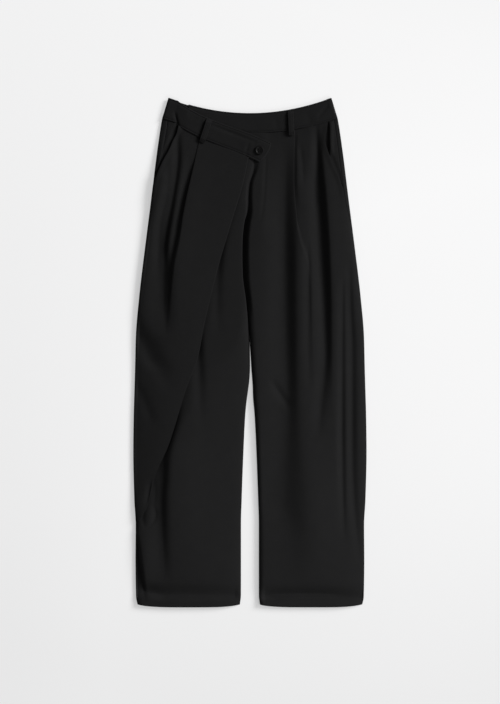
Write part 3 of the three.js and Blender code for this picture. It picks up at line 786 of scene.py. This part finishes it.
FLY_FOOT = 795
FLY_RISE = 50
FLY_WIDTH = (44, 24)


def fly_lift(x, up):
    return LAYER * smooth(*FLY_WIDTH, x) * smooth(FLY_FOOT - FLY_RISE, FLY_FOOT, up)


LOOPS_START = (930, 950)


def loop_lift(x, up):
    reach = LOOP_WIDTH / 2 + LOOP_CLEAR
    lifts = [smooth(reach + LOOP_SLOPE, reach, abs(x - at)) for at in BACK_LOOPS.values()]
    return (LOOP + SEAM) * smooth(*LOOPS_START, up) * np.maximum.reduce(lifts)


BEND_HEM = 60
BEND_WAIST = 850


def bent(level, side, x):
    """Rows bend to the hem's curve and to the waist seam's."""
    across = clamp((side * x - gap(level)) / (edge(level) - gap(level)))
    at_hem = level + HEM_RISE * (2 * across - 1) ** 4 * (1 - level / BEND_HEM)
    t = (level - BEND_WAIST) / (SEAM_MIDDLE - BEND_WAIST)
    at_waist = lerp(BEND_WAIST, waist_seam(x) - SEAM, t)
    return np.where(level < BEND_HEM, at_hem, np.where(level > BEND_WAIST, at_waist, level + 0 * x))


def front_edge(side, up):
    """The outer edge of a front layer: the side seam, or the pocket mouth above it."""
    mouth = mouths[side](up)
    return edge(up) - np.maximum(0.02, mouth + SEAM / 2 * smooth(0, 1, mouth))


PLEAT_INWARD = (-45, -2)
PLEAT_BEYOND = (40, 4)


def pleat_rise(outward, step):
    inward = smooth(*PLEAT_INWARD, outward)
    beyond = -smooth(*PLEAT_BEYOND, outward)
    return LAYER * step * np.where(outward < 0, inward, beyond)


def knife_pleat(lap, step):
    """The cloth's way round a knife pleat: places outward from the fold, and heights."""
    high = LAYER * step
    half = high / 2
    turn = np.radians(np.linspace(90, -90, 7))
    back = np.radians(np.linspace(90, 270, 7))
    out = np.maximum(lap, high + 0.2)
    closed_x = np.hstack([
        -4 + 0 * lap, -2.4 + 0 * lap, -half + half * np.cos(turn),
        -half - (out - high) * 0.5, -out + half + half * np.cos(back), -out * 0.4, 2.4 + 0 * lap,
    ])
    closed_z = np.hstack([
        high, high, half + half * np.sin(turn),
        0 * lap, -half + half * np.sin(back), -high, -high,
    ])
    count = closed_x.shape[1]
    open_x = np.linspace(-4, 4, count)[None, :] + 0 * lap
    open_z = high * np.cos(np.linspace(0, np.pi, count))[None, :]
    opened = clamp(1 - lap / 3)
    return lerp(closed_x, open_x, opened), lerp(closed_z, open_z, opened)


def crowd_start(q):
    return 1 - crowd_end(1 - q)


def crowd_end(q):
    return lerp(q, np.sin(q * np.pi / 2), 0.5)


def crowd_both(q):
    return lerp(q, (1 - np.cos(q * np.pi)) / 2, 0.6)


def even(count):
    return np.linspace(0, 1, count)[None, :]


FRONT_ROWS = 260
WRAP_ROWS = 230
BACK_ROWS = 110
FACING_ROWS = 40
LEFT_COLUMNS = (42, 80)  # on each side of the pleat
WRAP_COLUMNS = (42, 62)
UNDER_COLUMNS = 110
FACING_COLUMNS = 26
HEM_ROWS = 36
WAIST_ROWS = 8
WAIST_START = 960


def levels_of(count):
    """Rows of a leg, closer together at the hem and at the waist seam."""
    hem = np.linspace(0, BEND_HEM, HEM_ROWS)
    leg = np.linspace(BEND_HEM, WAIST_START, count)[1:]
    waist = np.linspace(WAIST_START, SEAM_MIDDLE, WAIST_ROWS)[1:]
    return np.concatenate([hem, leg, waist])[:, None]


# ------------------------------ making a piece of cloth


def normals_of(points):
    across = np.gradient(points, axis=1)
    along = np.gradient(points, axis=0)
    normals = np.cross(across, along)
    return normals / np.linalg.norm(normals, axis=2, keepdims=True)


HEM_INSIDE = 1.15      # from the middle of the cloth to the middle of its turned-up hem
HEM_FOLD = 0.58        # the same at the fold, half way round
HEM_BULGE = 0.45       # how far the fold stands out below
TUCKED_ROWS = ((0.5, 0.8), (3.5, 1.0))  # each row's way on, and its share of the drop


def turn_up_hem(points, inward):
    """Adds the hem, turned up on the inside: "inward" is +1 where the grid's face looks in."""
    rows = int(np.searchsorted(points[:, points.shape[1] // 2, 1], HEM_DEPTH))
    normals = normals_of(points) * inward
    along = np.gradient(points, axis=0)
    along /= np.linalg.norm(along, axis=2, keepdims=True)
    inside = (points[:rows] + normals[:rows] * HEM_INSIDE)[::-1]
    fold = points[:1] + normals[:1] * HEM_FOLD - along[:1] * HEM_BULGE
    return np.concatenate([inside, fold, points])


def tuck_in(points, drop, inset=0.0):
    """Adds two rows that carry the cloth on into the seam with the band."""
    head = points[-1:]
    rows = []
    for further, share in TUCKED_ROWS:
        row = head.copy()
        row[..., 1] += further
        row[..., 2] -= share * drop
        row[..., 0] -= share * inset
        rows.append(row)
    return np.concatenate([points, *rows])


def sheet_of_cloth(name, points, thick, finish):
    """A panel: a grid whose corners are moved to their places, given a wall and a finish."""
    rows, columns = points.shape[:2]
    mesh = bmesh.new()
    uv = mesh.loops.layers.uv.new("cloth")
    bmesh.ops.create_grid(mesh, x_segments=columns - 1, y_segments=rows - 1, size=1, calc_uvs=True)
    places = points * MM
    places[..., 1] += HEM_LINE
    step_x = np.linalg.norm(np.diff(places, axis=1), axis=2)
    step_y = np.linalg.norm(np.diff(places, axis=0), axis=2)
    weft = np.concatenate([np.zeros((rows, 1)), np.cumsum(step_x, axis=1)], axis=1)
    weft -= weft[:, columns // 2 : columns // 2 + 1]
    warp = np.concatenate([np.zeros((1, columns)), np.cumsum(step_y, axis=0)])
    weave = np.stack([weft, warp], axis=2).reshape(-1, 2)
    mesh.verts.ensure_lookup_table()
    for vert, place in zip(mesh.verts, places.reshape(-1, 3)):
        vert.co = place
    mesh.verts.index_update()
    for face in mesh.faces:
        face.smooth = True
        for loop in face.loops:
            loop[uv].uv = weave[loop.vert.index]
    data = bpy.data.meshes.new(name)
    mesh.to_mesh(data)
    mesh.free()
    piece = bpy.data.objects.new(name, data)
    bpy.context.scene.collection.objects.link(piece)
    data.materials.append(finish)
    wall = piece.modifiers.new("wall", "SOLIDIFY")
    wall.thickness = thick * MM
    wall.offset = 0
    return piece


# ------------------------------ finishes


def suiting():
    """Black worsted suiting in a fine twill."""
    material = bpy.data.materials.new("black_suiting")
    material.use_nodes = True
    nodes, links = material.node_tree.nodes, material.node_tree.links
    shader = nodes["Principled BSDF"]
    shader.inputs["Roughness"].default_value = 0.82
    shader.inputs["Sheen Weight"].default_value = 0.02
    shader.inputs["Sheen Roughness"].default_value = 0.45
    shader.inputs["Sheen Tint"].default_value = (0.8, 0.8, 0.82, 1)
    shader.inputs["Specular IOR Level"].default_value = 0.05

    weave = nodes.new("ShaderNodeUVMap")
    weave.uv_map = "cloth"
    turned = nodes.new("ShaderNodeMapping")
    turned.inputs["Rotation"].default_value = (0, 0, math.radians(63))
    twill = nodes.new("ShaderNodeTexWave")
    twill.inputs["Scale"].default_value = 1100
    twill.inputs["Distortion"].default_value = 1.2
    twill.inputs["Detail"].default_value = 2
    twill.inputs["Detail Scale"].default_value = 2
    yarn = nodes.new("ShaderNodeTexNoise")
    yarn.inputs["Scale"].default_value = 900
    yarn.inputs["Detail"].default_value = 3
    slub = nodes.new("ShaderNodeTexNoise")
    slub.inputs["Scale"].default_value = 38
    slub.inputs["Detail"].default_value = 4
    links.new(weave.outputs["UV"], turned.inputs["Vector"])
    links.new(turned.outputs["Vector"], twill.inputs["Vector"])
    links.new(weave.outputs["UV"], yarn.inputs["Vector"])
    links.new(weave.outputs["UV"], slub.inputs["Vector"])

    tone = nodes.new("ShaderNodeMix")
    tone.data_type = "RGBA"
    tone.inputs["A"].default_value = (0.0080, 0.0080, 0.0083, 1)
    tone.inputs["B"].default_value = (0.0122, 0.0121, 0.0122, 1)
    links.new(twill.outputs["Fac"], tone.inputs["Factor"])
    shade = nodes.new("ShaderNodeMix")
    shade.data_type = "RGBA"
    shade.blend_type = "MULTIPLY"
    shade.inputs["Factor"].default_value = 0.35
    ramp = nodes.new("ShaderNodeMapRange")
    ramp.inputs["To Min"].default_value = 0.75
    ramp.inputs["To Max"].default_value = 1.25
    links.new(slub.outputs["Fac"], ramp.inputs["Value"])
    links.new(tone.outputs["Result"], shade.inputs["A"])
    links.new(ramp.outputs["Result"], shade.inputs["B"])
    links.new(shade.outputs["Result"], shader.inputs["Base Color"])

    ribs = nodes.new("ShaderNodeBump")
    ribs.inputs["Strength"].default_value = 0.25
    ribs.inputs["Distance"].default_value = 0.0001
    links.new(twill.outputs["Fac"], ribs.inputs["Height"])
    fuzz = nodes.new("ShaderNodeBump")
    fuzz.inputs["Strength"].default_value = 0.2
    fuzz.inputs["Distance"].default_value = 0.0001
    links.new(yarn.outputs["Fac"], fuzz.inputs["Height"])
    links.new(ribs.outputs["Normal"], fuzz.inputs["Normal"])
    links.new(fuzz.outputs["Normal"], shader.inputs["Normal"])
    return material


def horn():
    """Polished black horn."""
    material = bpy.data.materials.new("black_horn")
    material.use_nodes = True
    nodes, links = material.node_tree.nodes, material.node_tree.links
    shader = nodes["Principled BSDF"]
    shader.inputs["Specular IOR Level"].default_value = 0.15
    place = nodes.new("ShaderNodeTexCoord")
    cloud = nodes.new("ShaderNodeTexNoise")
    cloud.inputs["Scale"].default_value = 240
    cloud.inputs["Detail"].default_value = 5
    links.new(place.outputs["Object"], cloud.inputs["Vector"])
    tone = nodes.new("ShaderNodeMix")
    tone.data_type = "RGBA"
    tone.inputs["A"].default_value = (0.0015, 0.0015, 0.0017, 1)
    tone.inputs["B"].default_value = (0.0045, 0.0044, 0.0043, 1)
    links.new(cloud.outputs["Fac"], tone.inputs["Factor"])
    links.new(tone.outputs["Result"], shader.inputs["Base Color"])
    polish = nodes.new("ShaderNodeMapRange")
    polish.inputs["To Min"].default_value = 0.36
    polish.inputs["To Max"].default_value = 0.5
    links.new(cloud.outputs["Fac"], polish.inputs["Value"])
    links.new(polish.outputs["Result"], shader.inputs["Roughness"])
    return material


def paper():
    """The pale floor, with painted light: it glows a little as if lit from beneath, brightens to
    one side in a painted gradient of light, and is dimmer in a round pool of painted shade beneath
    the fill lamp.
    """
    material = bpy.data.materials.new("pale_floor")
    material.use_nodes = True
    nodes, links = material.node_tree.nodes, material.node_tree.links
    shader = nodes["Principled BSDF"]
    shader.inputs["Roughness"].default_value = 0.9
    shader.inputs["Specular IOR Level"].default_value = 0.1
    place = nodes.new("ShaderNodeTexCoord")
    turned = nodes.new("ShaderNodeMapping")
    turned.inputs["Location"].default_value = (0.5, 0, 0)
    turned.inputs["Rotation"].default_value = (0, 0, math.radians(-74))
    turned.inputs["Scale"].default_value = (0.7, 0.7, 0.7)
    # painted light: a gradient that brightens the floor's colour towards one side
    across = nodes.new("ShaderNodeTexGradient")
    links.new(place.outputs["Object"], turned.inputs["Vector"])
    links.new(turned.outputs["Vector"], across.inputs["Vector"])
    tone = nodes.new("ShaderNodeMix")
    tone.data_type = "RGBA"
    tone.inputs["A"].default_value = (0.392, 0.392, 0.393, 1)
    tone.inputs["B"].default_value = (0.459, 0.459, 0.460, 1)
    links.new(across.outputs["Fac"], tone.inputs["Factor"])
    # painted shade: a round pool, centred beneath the fill lamp, that darkens the floor's colour
    # there
    corner = nodes.new("ShaderNodeMapping")
    corner.inputs["Location"].default_value = (-0.7, 0.6, 0)
    pool = nodes.new("ShaderNodeTexGradient")
    pool.gradient_type = "SPHERICAL"
    links.new(place.outputs["Object"], corner.inputs["Vector"])
    links.new(corner.outputs["Vector"], pool.inputs["Vector"])
    pool_painted_shade = nodes.new("ShaderNodeMix")
    pool_painted_shade.data_type = "RGBA"
    pool_painted_shade.blend_type = "MULTIPLY"
    pool_painted_shade.inputs["B"].default_value = (0.82, 0.82, 0.82, 1)
    links.new(pool.outputs["Fac"], pool_painted_shade.inputs["Factor"])
    links.new(tone.outputs["Result"], pool_painted_shade.inputs["A"])
    links.new(pool_painted_shade.outputs["Result"], shader.inputs["Base Color"])
    # painted light: the floor glows with this same colour, as if lit from beneath
    links.new(pool_painted_shade.outputs["Result"], shader.inputs["Emission Color"])
    shader.inputs["Emission Strength"].default_value = 1.15
    return material


SUITING = suiting()
HORN = horn()

# ------------------------------ the panels


def at(x, up, z):
    return np.stack(np.broadcast_arrays(x, up, z), axis=2).astype(float)


TUCK = 1.6             # how far a panel's head sinks into the seam with the band
PLEAT_MARGIN = 5
UNDER_FLY = 7
INSET = 2.4            # of the under panel's side, beneath the wrap
HIP_INSET = 2.6
LOW = 2.6              # how far the under panel lies below the wrap's bed
LOW_AT_WAIST = 1.2
LOW_TO_WAIST = (910, 950)
INSET_START = (WRAP_FOOT - 26, WRAP_FOOT - 4)
HIP_INSET_START = (850, 900)
UNDER_FLY_START = (FLY_FOOT, FLY_FOOT + 45)
COVERED_START = (WRAP_FOOT - 20, WRAP_FOOT + 20)
COVERED_ASIDE = (0, 30)
LIP_START = (575, 620)
LIP = np.array([[0.5, 1.0]])  # the share of each of the lip's two columns
LOWEST_LIP = 1.6       # the same as LOWEST, for the under panel's lip beneath the fly


def front_left_leg():
    pleat_x, lap, step = (curve(LEFT_PLEAT, key) for key in ("x", "lap", "step"))
    level = levels_of(FRONT_ROWS)
    start = centre(level) + gap(level)
    outer = settle(200 + 0 * level, lambda x: front_edge(1, bent(level, 1, x)))
    fold = pleat_x(level)
    turn_x, turn_z = knife_pleat(lap(level), step(level))
    before = lerp(start, fold - PLEAT_MARGIN, crowd_start(even(LEFT_COLUMNS[0])))
    after = lerp(fold + PLEAT_MARGIN, outer, crowd_end(even(LEFT_COLUMNS[1])))
    x = np.hstack([before, fold + turn_x, after])
    z = np.hstack([
        pleat_rise(before - fold, step(level)), turn_z, pleat_rise(after - fold, step(level)),
    ])
    up = bent(level, 1, x)
    z = z + bed(1, x, up, LEFT_FOLDS) + np.maximum(pocket_lift(1, x, up), fly_lift(x, up))
    z = above_the_back(up, z)
    points = tuck_in(turn_up_hem(at(x, up, z), -1), TUCK)
    return sheet_of_cloth("left_front", points, CLOTH, SUITING)


def front_right_leg():
    level = levels_of(FRONT_ROWS)
    inset = INSET * smooth(*INSET_START, level)
    hip = seams[-1](level) + HIP_INSET * smooth(*HIP_INSET_START, level)
    tucked = UNDER_FLY * smooth(*UNDER_FLY_START, level)
    outer = np.maximum(0.02, hip) + inset - edge(level)
    inner = centre(level) - gap(level)
    main = lerp(outer, inner, crowd_both(even(UNDER_COLUMNS)))
    lip = inner + tucked * LIP + np.array([[0.05, 0.1]])
    x = np.hstack([main, lip])
    up = bent(level, -1, x)
    covered = smooth(*COVERED_ASIDE, wrap_edge(up) - x) * smooth(*COVERED_START, up)
    lies = np.minimum(x, centre(up) - gap(up))
    lower = lerp(LOW, LOW_AT_WAIST, smooth(*LOW_TO_WAIST, up))
    held = held_side(edge(up) - inset + x, up)
    low = lower * covered * held
    free = held * clamp((centre(up) - gap(up) - x) / HELD_INNER)
    creases = lerp(sink(UNDER_FOLDS, x, up), sink(WRAP_FOLDS, x, up), covered)
    z = above_the_back(up, bed(-1, lies, up, NO_FOLDS, inset) + free * creases - low)
    beneath = np.maximum(bed(1, x, up, LEFT_FOLDS) + fly_lift(x, up) - LAYER, LOWEST_LIP)[:, -2:]
    z[:, -2:] = lerp(z[:, -2:], beneath, smooth(*LIP_START, up[:, -2:]) * LIP)
    points = tuck_in(turn_up_hem(at(x, up, z), -1), TUCK)
    return sheet_of_cloth("right_front", points, CLOTH, SUITING)


def wrap_panel():
    pleat_x, lap, step = (curve(RIGHT_PLEAT, key) for key in ("x", "lap", "step"))
    v = np.linspace(0, 1, WRAP_ROWS)[:, None]

    def level_at(x):
        return lerp(WRAP_FOOT, tab_low(x) - SEAM, v)

    outer = settle(-200 + 0 * v, lambda x: -front_edge(-1, level_at(x)))
    inner = settle(-100 + 0 * v, lambda x: wrap_edge(level_at(x)))
    fold = settle(-160 + 0 * v, lambda x: pleat_x(level_at(x)))
    level = level_at(fold)
    room = np.minimum(inner - fold, fold - outer)
    margin = np.minimum(PLEAT_MARGIN, room / 4)
    turn_x, turn_z = knife_pleat(lap(level), step(level))
    turn_x = turn_x[:, ::-1] * margin / PLEAT_MARGIN
    turn_z = turn_z[:, ::-1]
    before = lerp(outer, fold - margin, crowd_start(even(WRAP_COLUMNS[0])))
    after = lerp(fold + margin, inner, even(WRAP_COLUMNS[1]))
    x = np.hstack([before, fold - turn_x, after])
    z = np.hstack([
        pleat_rise(fold - before, step(level)), turn_z, pleat_rise(fold - after, step(level)),
    ])
    up = level_at(x)
    z = z + bed(-1, x, up, WRAP_FOLDS) + layer_over(-1, x, up) + pocket_lift(-1, x, up)
    return sheet_of_cloth("wrap", tuck_in(at(x, up, z), TUCK), CLOTH, SUITING)


BACK_ROLL = 12
INNER_BACK_ROLL = 9
WIDEST_ROLL = 24
ALLOWANCE_SUNK = 1.3
BACK_TUCK = 2.2
BACK_TUCK_IN = 3
CENTRE_SEAM = (CROTCH + 120, CROTCH)
CENTRE_SEAM_FLAT = (CROTCH - 60, CROTCH + 30)
INNER_LIFTED = (CROTCH + 30, CROTCH - 60)
TURN_COLUMNS = 15
FLAT_COLUMNS = 40
INNER_COLUMNS = 8


def back_leg(name, side):
    level = levels_of(BACK_ROWS)
    centre_back = centre(np.minimum(level, CROTCH)) * smooth(*CENTRE_SEAM, level)
    flat_seam = CLOTH / 2 * smooth(*CENTRE_SEAM_FLAT, level)
    inner = side * centre_back + gap(level) - flat_seam
    seam = np.maximum(0, seams[side](level) - SEAM / 2)
    reach = np.minimum(side_roll[side](level), WIDEST_ROLL)
    turn = lerp(np.arccos(1 - clamp(seam / reach)), -np.pi / 2, even(TURN_COLUMNS))
    inward = np.where(turn > 0, reach, BACK_ROLL) * (1 - np.cos(turn))
    widest = 200 + 0 * inward
    rolled = side * settle(widest, lambda out: edge(bent(level, side, side * out)) - inward)
    outer_end, inner_end = edge(level) - BACK_ROLL - 4, inner + INNER_BACK_ROLL + 3
    flat = side * lerp(outer_end, inner_end, even(FLAT_COLUMNS))
    last = np.pi / 2 * even(INNER_COLUMNS)
    lifted = side * (inner + INNER_BACK_ROLL * (1 - np.sin(last)))
    allowance = smooth(0, 4, seam)
    under = rolled[:, :1] - side * (np.array([[3.0, 0.7]]) * allowance + np.array([[0.1, 0.05]]))
    x = np.hstack([under, rolled, flat, lifted])
    up = bent(level, side, x)
    lies = -np.pi / 2
    turns = np.hstack([turn[:, :1] + 0 * under, turn, lies + 0 * flat, lies + 0 * lifted])
    ends = np.hstack([0 * under, 0 * rolled, 0 * flat, last + 0 * level])
    over = bed(side, x, up) + layer_over(side, x, up)
    over[:, :2] -= ALLOWANCE_SUNK * allowance
    beneath = FLOOR + (side_height[side](up) - SEAM / 2 - FLOOR) * (1 + np.sin(turns))
    lift = smooth(*INNER_LIFTED, up)
    z = np.where(turns > 0, over, beneath + loop_lift(x, up) * (turns < -1.5))
    z = z + (inner_height[side](up) - SEAM - FLOOR) * lift * (1 - np.cos(ends))
    drop = np.where(turns > 0, TUCK, BACK_TUCK * np.sin(turns))[-1:]
    inset = side * BACK_TUCK_IN * np.cos(turns)[-1:]
    points = tuck_in(turn_up_hem(at(x, up, z), side * -1), drop, inset)
    return sheet_of_cloth(name, points, CLOTH, SUITING)


FACING_FOOT = 868
FACING_UNDER = 16
FACING_SHORT = -1.5    # it ends short of the mouth beside the tab
FACING_SUNK = {-1: 1.5, 1: 1.4}
NEAR_TAB = (972, 962)
GAPE = ((928, 940), (1008, 992))
GAPE_DEPTH = 3.4
GAPE_EDGE = (165, 162.2)
GAPE_RIDGE = {"x": 168, "height": 2.2, "reach": 4.5}


def gape(x, up):
    """The left pocket's mouth, which stands open above its middle."""
    ridge = GAPE_RIDGE["height"] * bump(x - GAPE_RIDGE["x"], GAPE_RIDGE["reach"])
    sunk = GAPE_DEPTH * smooth(*GAPE_EDGE, x) - ridge
    return sunk * smooth(*GAPE[0], up) * smooth(*GAPE[1], up)


def pocket_facing(name, side, folds):
    level = np.linspace(FACING_FOOT, SEAM_MIDDLE, FACING_ROWS)[:, None]
    full = smooth(*NEAR_TAB, level) if side < 0 else 1 + 0 * level
    under = lerp(FACING_SHORT, FACING_UNDER, full)
    seam = seams[side](level) + SEAM
    start = lerp(seam, mouths[side](level) + under, even(FACING_COLUMNS))
    x = side * settle(180 + 0 * start, lambda out: edge(bent(level, side, side * out)) - start)
    up = bent(level, side, x)
    sunk = FACING_SUNK[side] * smooth(-8, 0, start - mouths[side](level))
    if side > 0:
        sunk = sunk + gape(x, up)
    z = bed(side, x, up, folds) + layer_over(side, x, up) - sunk * smooth(0, 3, start - seam)
    z = np.maximum(z, LOWEST)
    drop = np.clip(z[-1:] - LOWEST, 0, TUCK)
    return sheet_of_cloth(name, tuck_in(at(x, up, z), drop), CLOTH, SUITING)


# ------------------------------ waistbands and loops

BAND_BEHIND = 1.5
BAND_WIDTH = 42
RIM = np.array([0, 0.3, 0.8, 1.4, 2.0, 2.6, 3.2, 4.2])
MEETS = np.array([-2.0, -1.2, -0.3, 1.0])  # where two bands join, they lap beneath the surface
MEETS_SUNK = np.array([1.0, 0.35, -0.03, 0])
EDGE_DROP = 0.9
EDGE_ROLL = 1.4
STITCHED_IN = 2.6
BAND_ROWS = 9
WRAP_BAND_ROWS = 14
BAND_TURN_COLUMNS = 13
BAND_END_COLUMNS = 9
BAND_FLAT_COLUMNS = 90
FRONT_BAND_COLUMNS = 120
WRAP_BAND_COLUMNS = 110


def band_rows(count):
    rim = RIM / BAND_WIDTH
    middle = np.linspace(rim[-1], 1 - rim[-1], count)[1:-1]
    return np.concatenate([rim, middle, 1 - rim[::-1]])[:, None]


def band_edges(v, groove=0.7):
    """A band's long edges are rounded, and stitched a little way in."""
    near = np.minimum(v, 1 - v) * BAND_WIDTH
    return -EDGE_DROP * (1 - roll(near / EDGE_ROLL)) - groove * bump(near - STITCHED_IN, 0.9)


def waistband_back():
    v = band_rows(BAND_ROWS)
    half = lerp(HIP_HALF, WAIST_HALF, v) - BAND / 2
    turn = np.pi / 2 * np.linspace(1, -1, BAND_TURN_COLUMNS)[None, :]

    def rise(x, behind):
        onto = x / half
        return lerp(waist_seam(onto * HIP_HALF), waist_top(onto * WAIST_HALF) - behind, v)

    def turned(side, end):
        x = side * (half - BAND_ROLL * (1 - np.cos(turn)))
        z = lerp(BAND / 2, end["z"], (1 + np.sin(turn)) / 2)
        return at(x, rise(x, np.where(turn > 0, 0, BAND_BEHIND)), z + band_edges(v) * np.sin(turn))

    def ended(end):
        side = np.sign(end["low"])
        meets = lerp(end["low"], end["top"], v) + side * MEETS[None, :]
        out = lerp(meets[:, -1:], side * (half - BAND_ROLL), even(BAND_END_COLUMNS)[:, 1:-1])
        x = np.hstack([meets, out])
        up = rise(x, 0)
        sunk = np.hstack([MEETS_SUNK, np.zeros(out.shape[1])])[None, :]
        return at(x, up, end["z"] - sunk + band_edges(v) + pressed(x, up))

    floor_end = half - BAND_ROLL - 4
    floor_x = lerp(-floor_end, floor_end, even(BAND_FLAT_COLUMNS))
    floor_up = rise(floor_x, BAND_BEHIND)
    flat = at(floor_x, floor_up, BAND / 2 + loop_lift(floor_x, floor_up) - band_edges(v))
    left = np.flip(np.concatenate([ended(LEFT_END), turned(1, LEFT_END)], axis=1), axis=1)
    points = np.concatenate([ended(RIGHT_END), turned(-1, RIGHT_END), flat, left], axis=1)
    return sheet_of_cloth("back_waistband", points, BAND, SUITING)


def waistband_front():
    v = band_rows(BAND_ROWS)
    end = lerp(LEFT_END["low"], LEFT_END["top"], v) - MEETS[None, ::-1]
    x = np.hstack([lerp(FRONT_END_RIGHT, end[:, :1], even(FRONT_BAND_COLUMNS)[:, :-1]), end])
    up = lerp(waist_seam(x), waist_top(x), v)
    z = BAND_FRONT + band_edges(v) + pressed(x, up)
    z[:, -4:] -= MEETS_SUNK[None, ::-1]
    return sheet_of_cloth("front_waistband", at(x, up, z), BAND, SUITING)


def waistband_wrap():
    v = band_rows(WRAP_BAND_ROWS)
    length = TAB_TOP["x"][1] - TAB_TOP["x"][0]
    start = MEETS / length
    body = np.linspace(start[-1], 1 - RIM[-1] / length, WRAP_BAND_COLUMNS)[1:-1]
    u = np.concatenate([start, body, 1 - RIM[::-1] / length])[None, :]
    bulge = TAB_END_BULGE * 4 * v * (1 - v) * clamp(u) ** 12
    x = lerp(lerp(*TAB_LOW["x"], u), lerp(*TAB_TOP["x"], u), v) + bulge
    up = lerp(sagging(TAB_LOW, u), sagging(TAB_TOP, u), v)
    from_end = (1 - u) * length
    level = roll(from_end / EDGE_ROLL)
    z = tab_height(np.maximum(x, -150)) + pressed(x, up) - EDGE_DROP * (1 - level)
    z = z + np.maximum(band_edges(v), -EDGE_DROP * level)
    z = z - 0.2 * bump(from_end - STITCHED_IN, 0.7)
    z[:, :4] -= MEETS_SUNK
    return sheet_of_cloth("wrap_waistband", at(x, up, z), BAND, SUITING)


LOOP_RIM = np.array([0, 0.25, 0.6, 1.1, 1.7, 2.2, 3.0, 4.2])
LOOP_ROWS = 40
LOOP_STITCHED_IN = 1.9


def belt_loop(name, head, foot, bow=0.0, width=LOOP_WIDTH):
    head, foot = np.array(head, float), np.array(foot, float)
    run = (foot - head)[:2] / np.linalg.norm((foot - head)[:2])
    v = np.linspace(0, 1, LOOP_ROWS)[:, None]
    half = width / 2
    aside = np.concatenate([LOOP_RIM - half, [0], half - LOOP_RIM[::-1]])[None, :]
    near = half - abs(aside)
    x = lerp(foot[0], head[0], v) - aside * run[1]
    up = lerp(foot[1], head[1], v) + aside * run[0]
    rise = smooth(0, 0.16, v) * smooth(1, 0.84, v)
    edges = -0.4 * (1 - roll(near / 0.9)) - 0.3 * bump(near - LOOP_STITCHED_IN, 0.5)
    z = lerp(head[2], foot[2], (1 - v) ** 3) + bow * rise + edges * (1 if bow else 0)
    return sheet_of_cloth(name, at(x, up, z), LOOP, SUITING)


# ------------------------------ putting it together


def fit(piece, node):
    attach(piece, "root")
    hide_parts(node)


fit(back_leg("right_back", -1), "back_right_leg")
fit(back_leg("left_back", 1), "back_left_leg")
fit(front_right_leg(), "front_right_leg")
fit(front_left_leg(), "front_left_leg")
fit(wrap_panel(), "wrap_panel")
right_facing = pocket_facing("right_pocket_facing", -1, WRAP_FOLDS)
fit(right_facing, "pocket_facing_right")
left_facing = pocket_facing("left_pocket_facing", 1, LEFT_FOLDS)
fit(left_facing, "pocket_facing_left")
fit(waistband_back(), "waistband_back")
fit(waistband_front(), "waistband_front")
fit(waistband_wrap(), "waistband_wrap")

band_top = BAND_FRONT + BAND / 2 + SEAM + LOOP / 2
tab_top = float(tab_height(-90)) + BAND / 2 + SEAM + LOOP / 2
loops = {
    "front_left": belt_loop(
        "left_front_loop", (83.6, 1025, band_top), (85.9, 974, band_top + 0.9), bow=2.6, width=10.6
    ),
    "front_right": belt_loop(
        "right_front_loop", (-83.5, 1006.5, tab_top), (-99, 959.5, tab_top), bow=2.8, width=11.2
    ),
}
for place, x in BACK_LOOPS.items():
    top = waist_top(x) - 4
    loops["back_" + place] = belt_loop(
        place + "_back_loop", (x, top, LOOP / 2), (x, top - BACK_LOOP_LENGTH, LOOP / 2)
    )
for place, piece in loops.items():
    fit(piece, "loop_" + place)

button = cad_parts["button"]
for slot in button.material_slots:
    slot.material = HORN

# ------------------------------ floor, light and camera

FLOOR_HALF = 16        # metres
FLOOR_BELOW = 0.0002


def floor():
    mesh = bmesh.new()
    bmesh.ops.create_grid(mesh, x_segments=4, y_segments=4, size=FLOOR_HALF)
    data = bpy.data.meshes.new("floor")
    mesh.to_mesh(data)
    mesh.free()
    data.transform(Matrix.Translation((0, 0, -FLOOR_BELOW)))
    ground = bpy.data.objects.new("floor", data)
    bpy.context.scene.collection.objects.link(ground)
    data.materials.append(paper())


def lighting():
    lamp = bpy.data.lights.new("key", "SUN")
    lamp.energy = 3.9
    lamp.angle = math.radians(22)
    key = bpy.data.objects.new("key", lamp)
    towards = Vector((0.80, 0.38, 0.46))
    key.rotation_euler = towards.to_track_quat("Z", "Y").to_euler()
    bpy.context.scene.collection.objects.link(key)
    panel = bpy.data.lights.new("fill", "AREA")
    panel.energy = 6.6
    panel.size = 0.9
    fill = bpy.data.objects.new("fill", panel)
    fill.location = (0.7, -0.5, 0.85)
    fill.rotation_euler = (fill.location - Vector((0, -0.3, 0))).to_track_quat("Z", "Y").to_euler()
    bpy.context.scene.collection.objects.link(fill)
    world = bpy.data.worlds.new("studio")
    world.use_nodes = True
    world.node_tree.nodes["Background"].inputs["Color"].default_value = (1, 1, 1, 1)
    world.node_tree.nodes["Background"].inputs["Strength"].default_value = 0.16
    bpy.context.scene.world = world


def camera():
    lens = bpy.data.cameras.new("camera")
    lens.lens = 100
    lens.sensor_width = 36
    view_height = 1.4573
    distance = view_height * lens.lens / lens.sensor_width
    body = bpy.data.objects.new("camera", lens)
    body.location = (0.0002, 0.0009, distance)
    bpy.context.scene.collection.objects.link(body)
    bpy.context.scene.camera = body


floor()
lighting()
camera()
bpy.context.scene.view_settings.view_transform = "Standard"
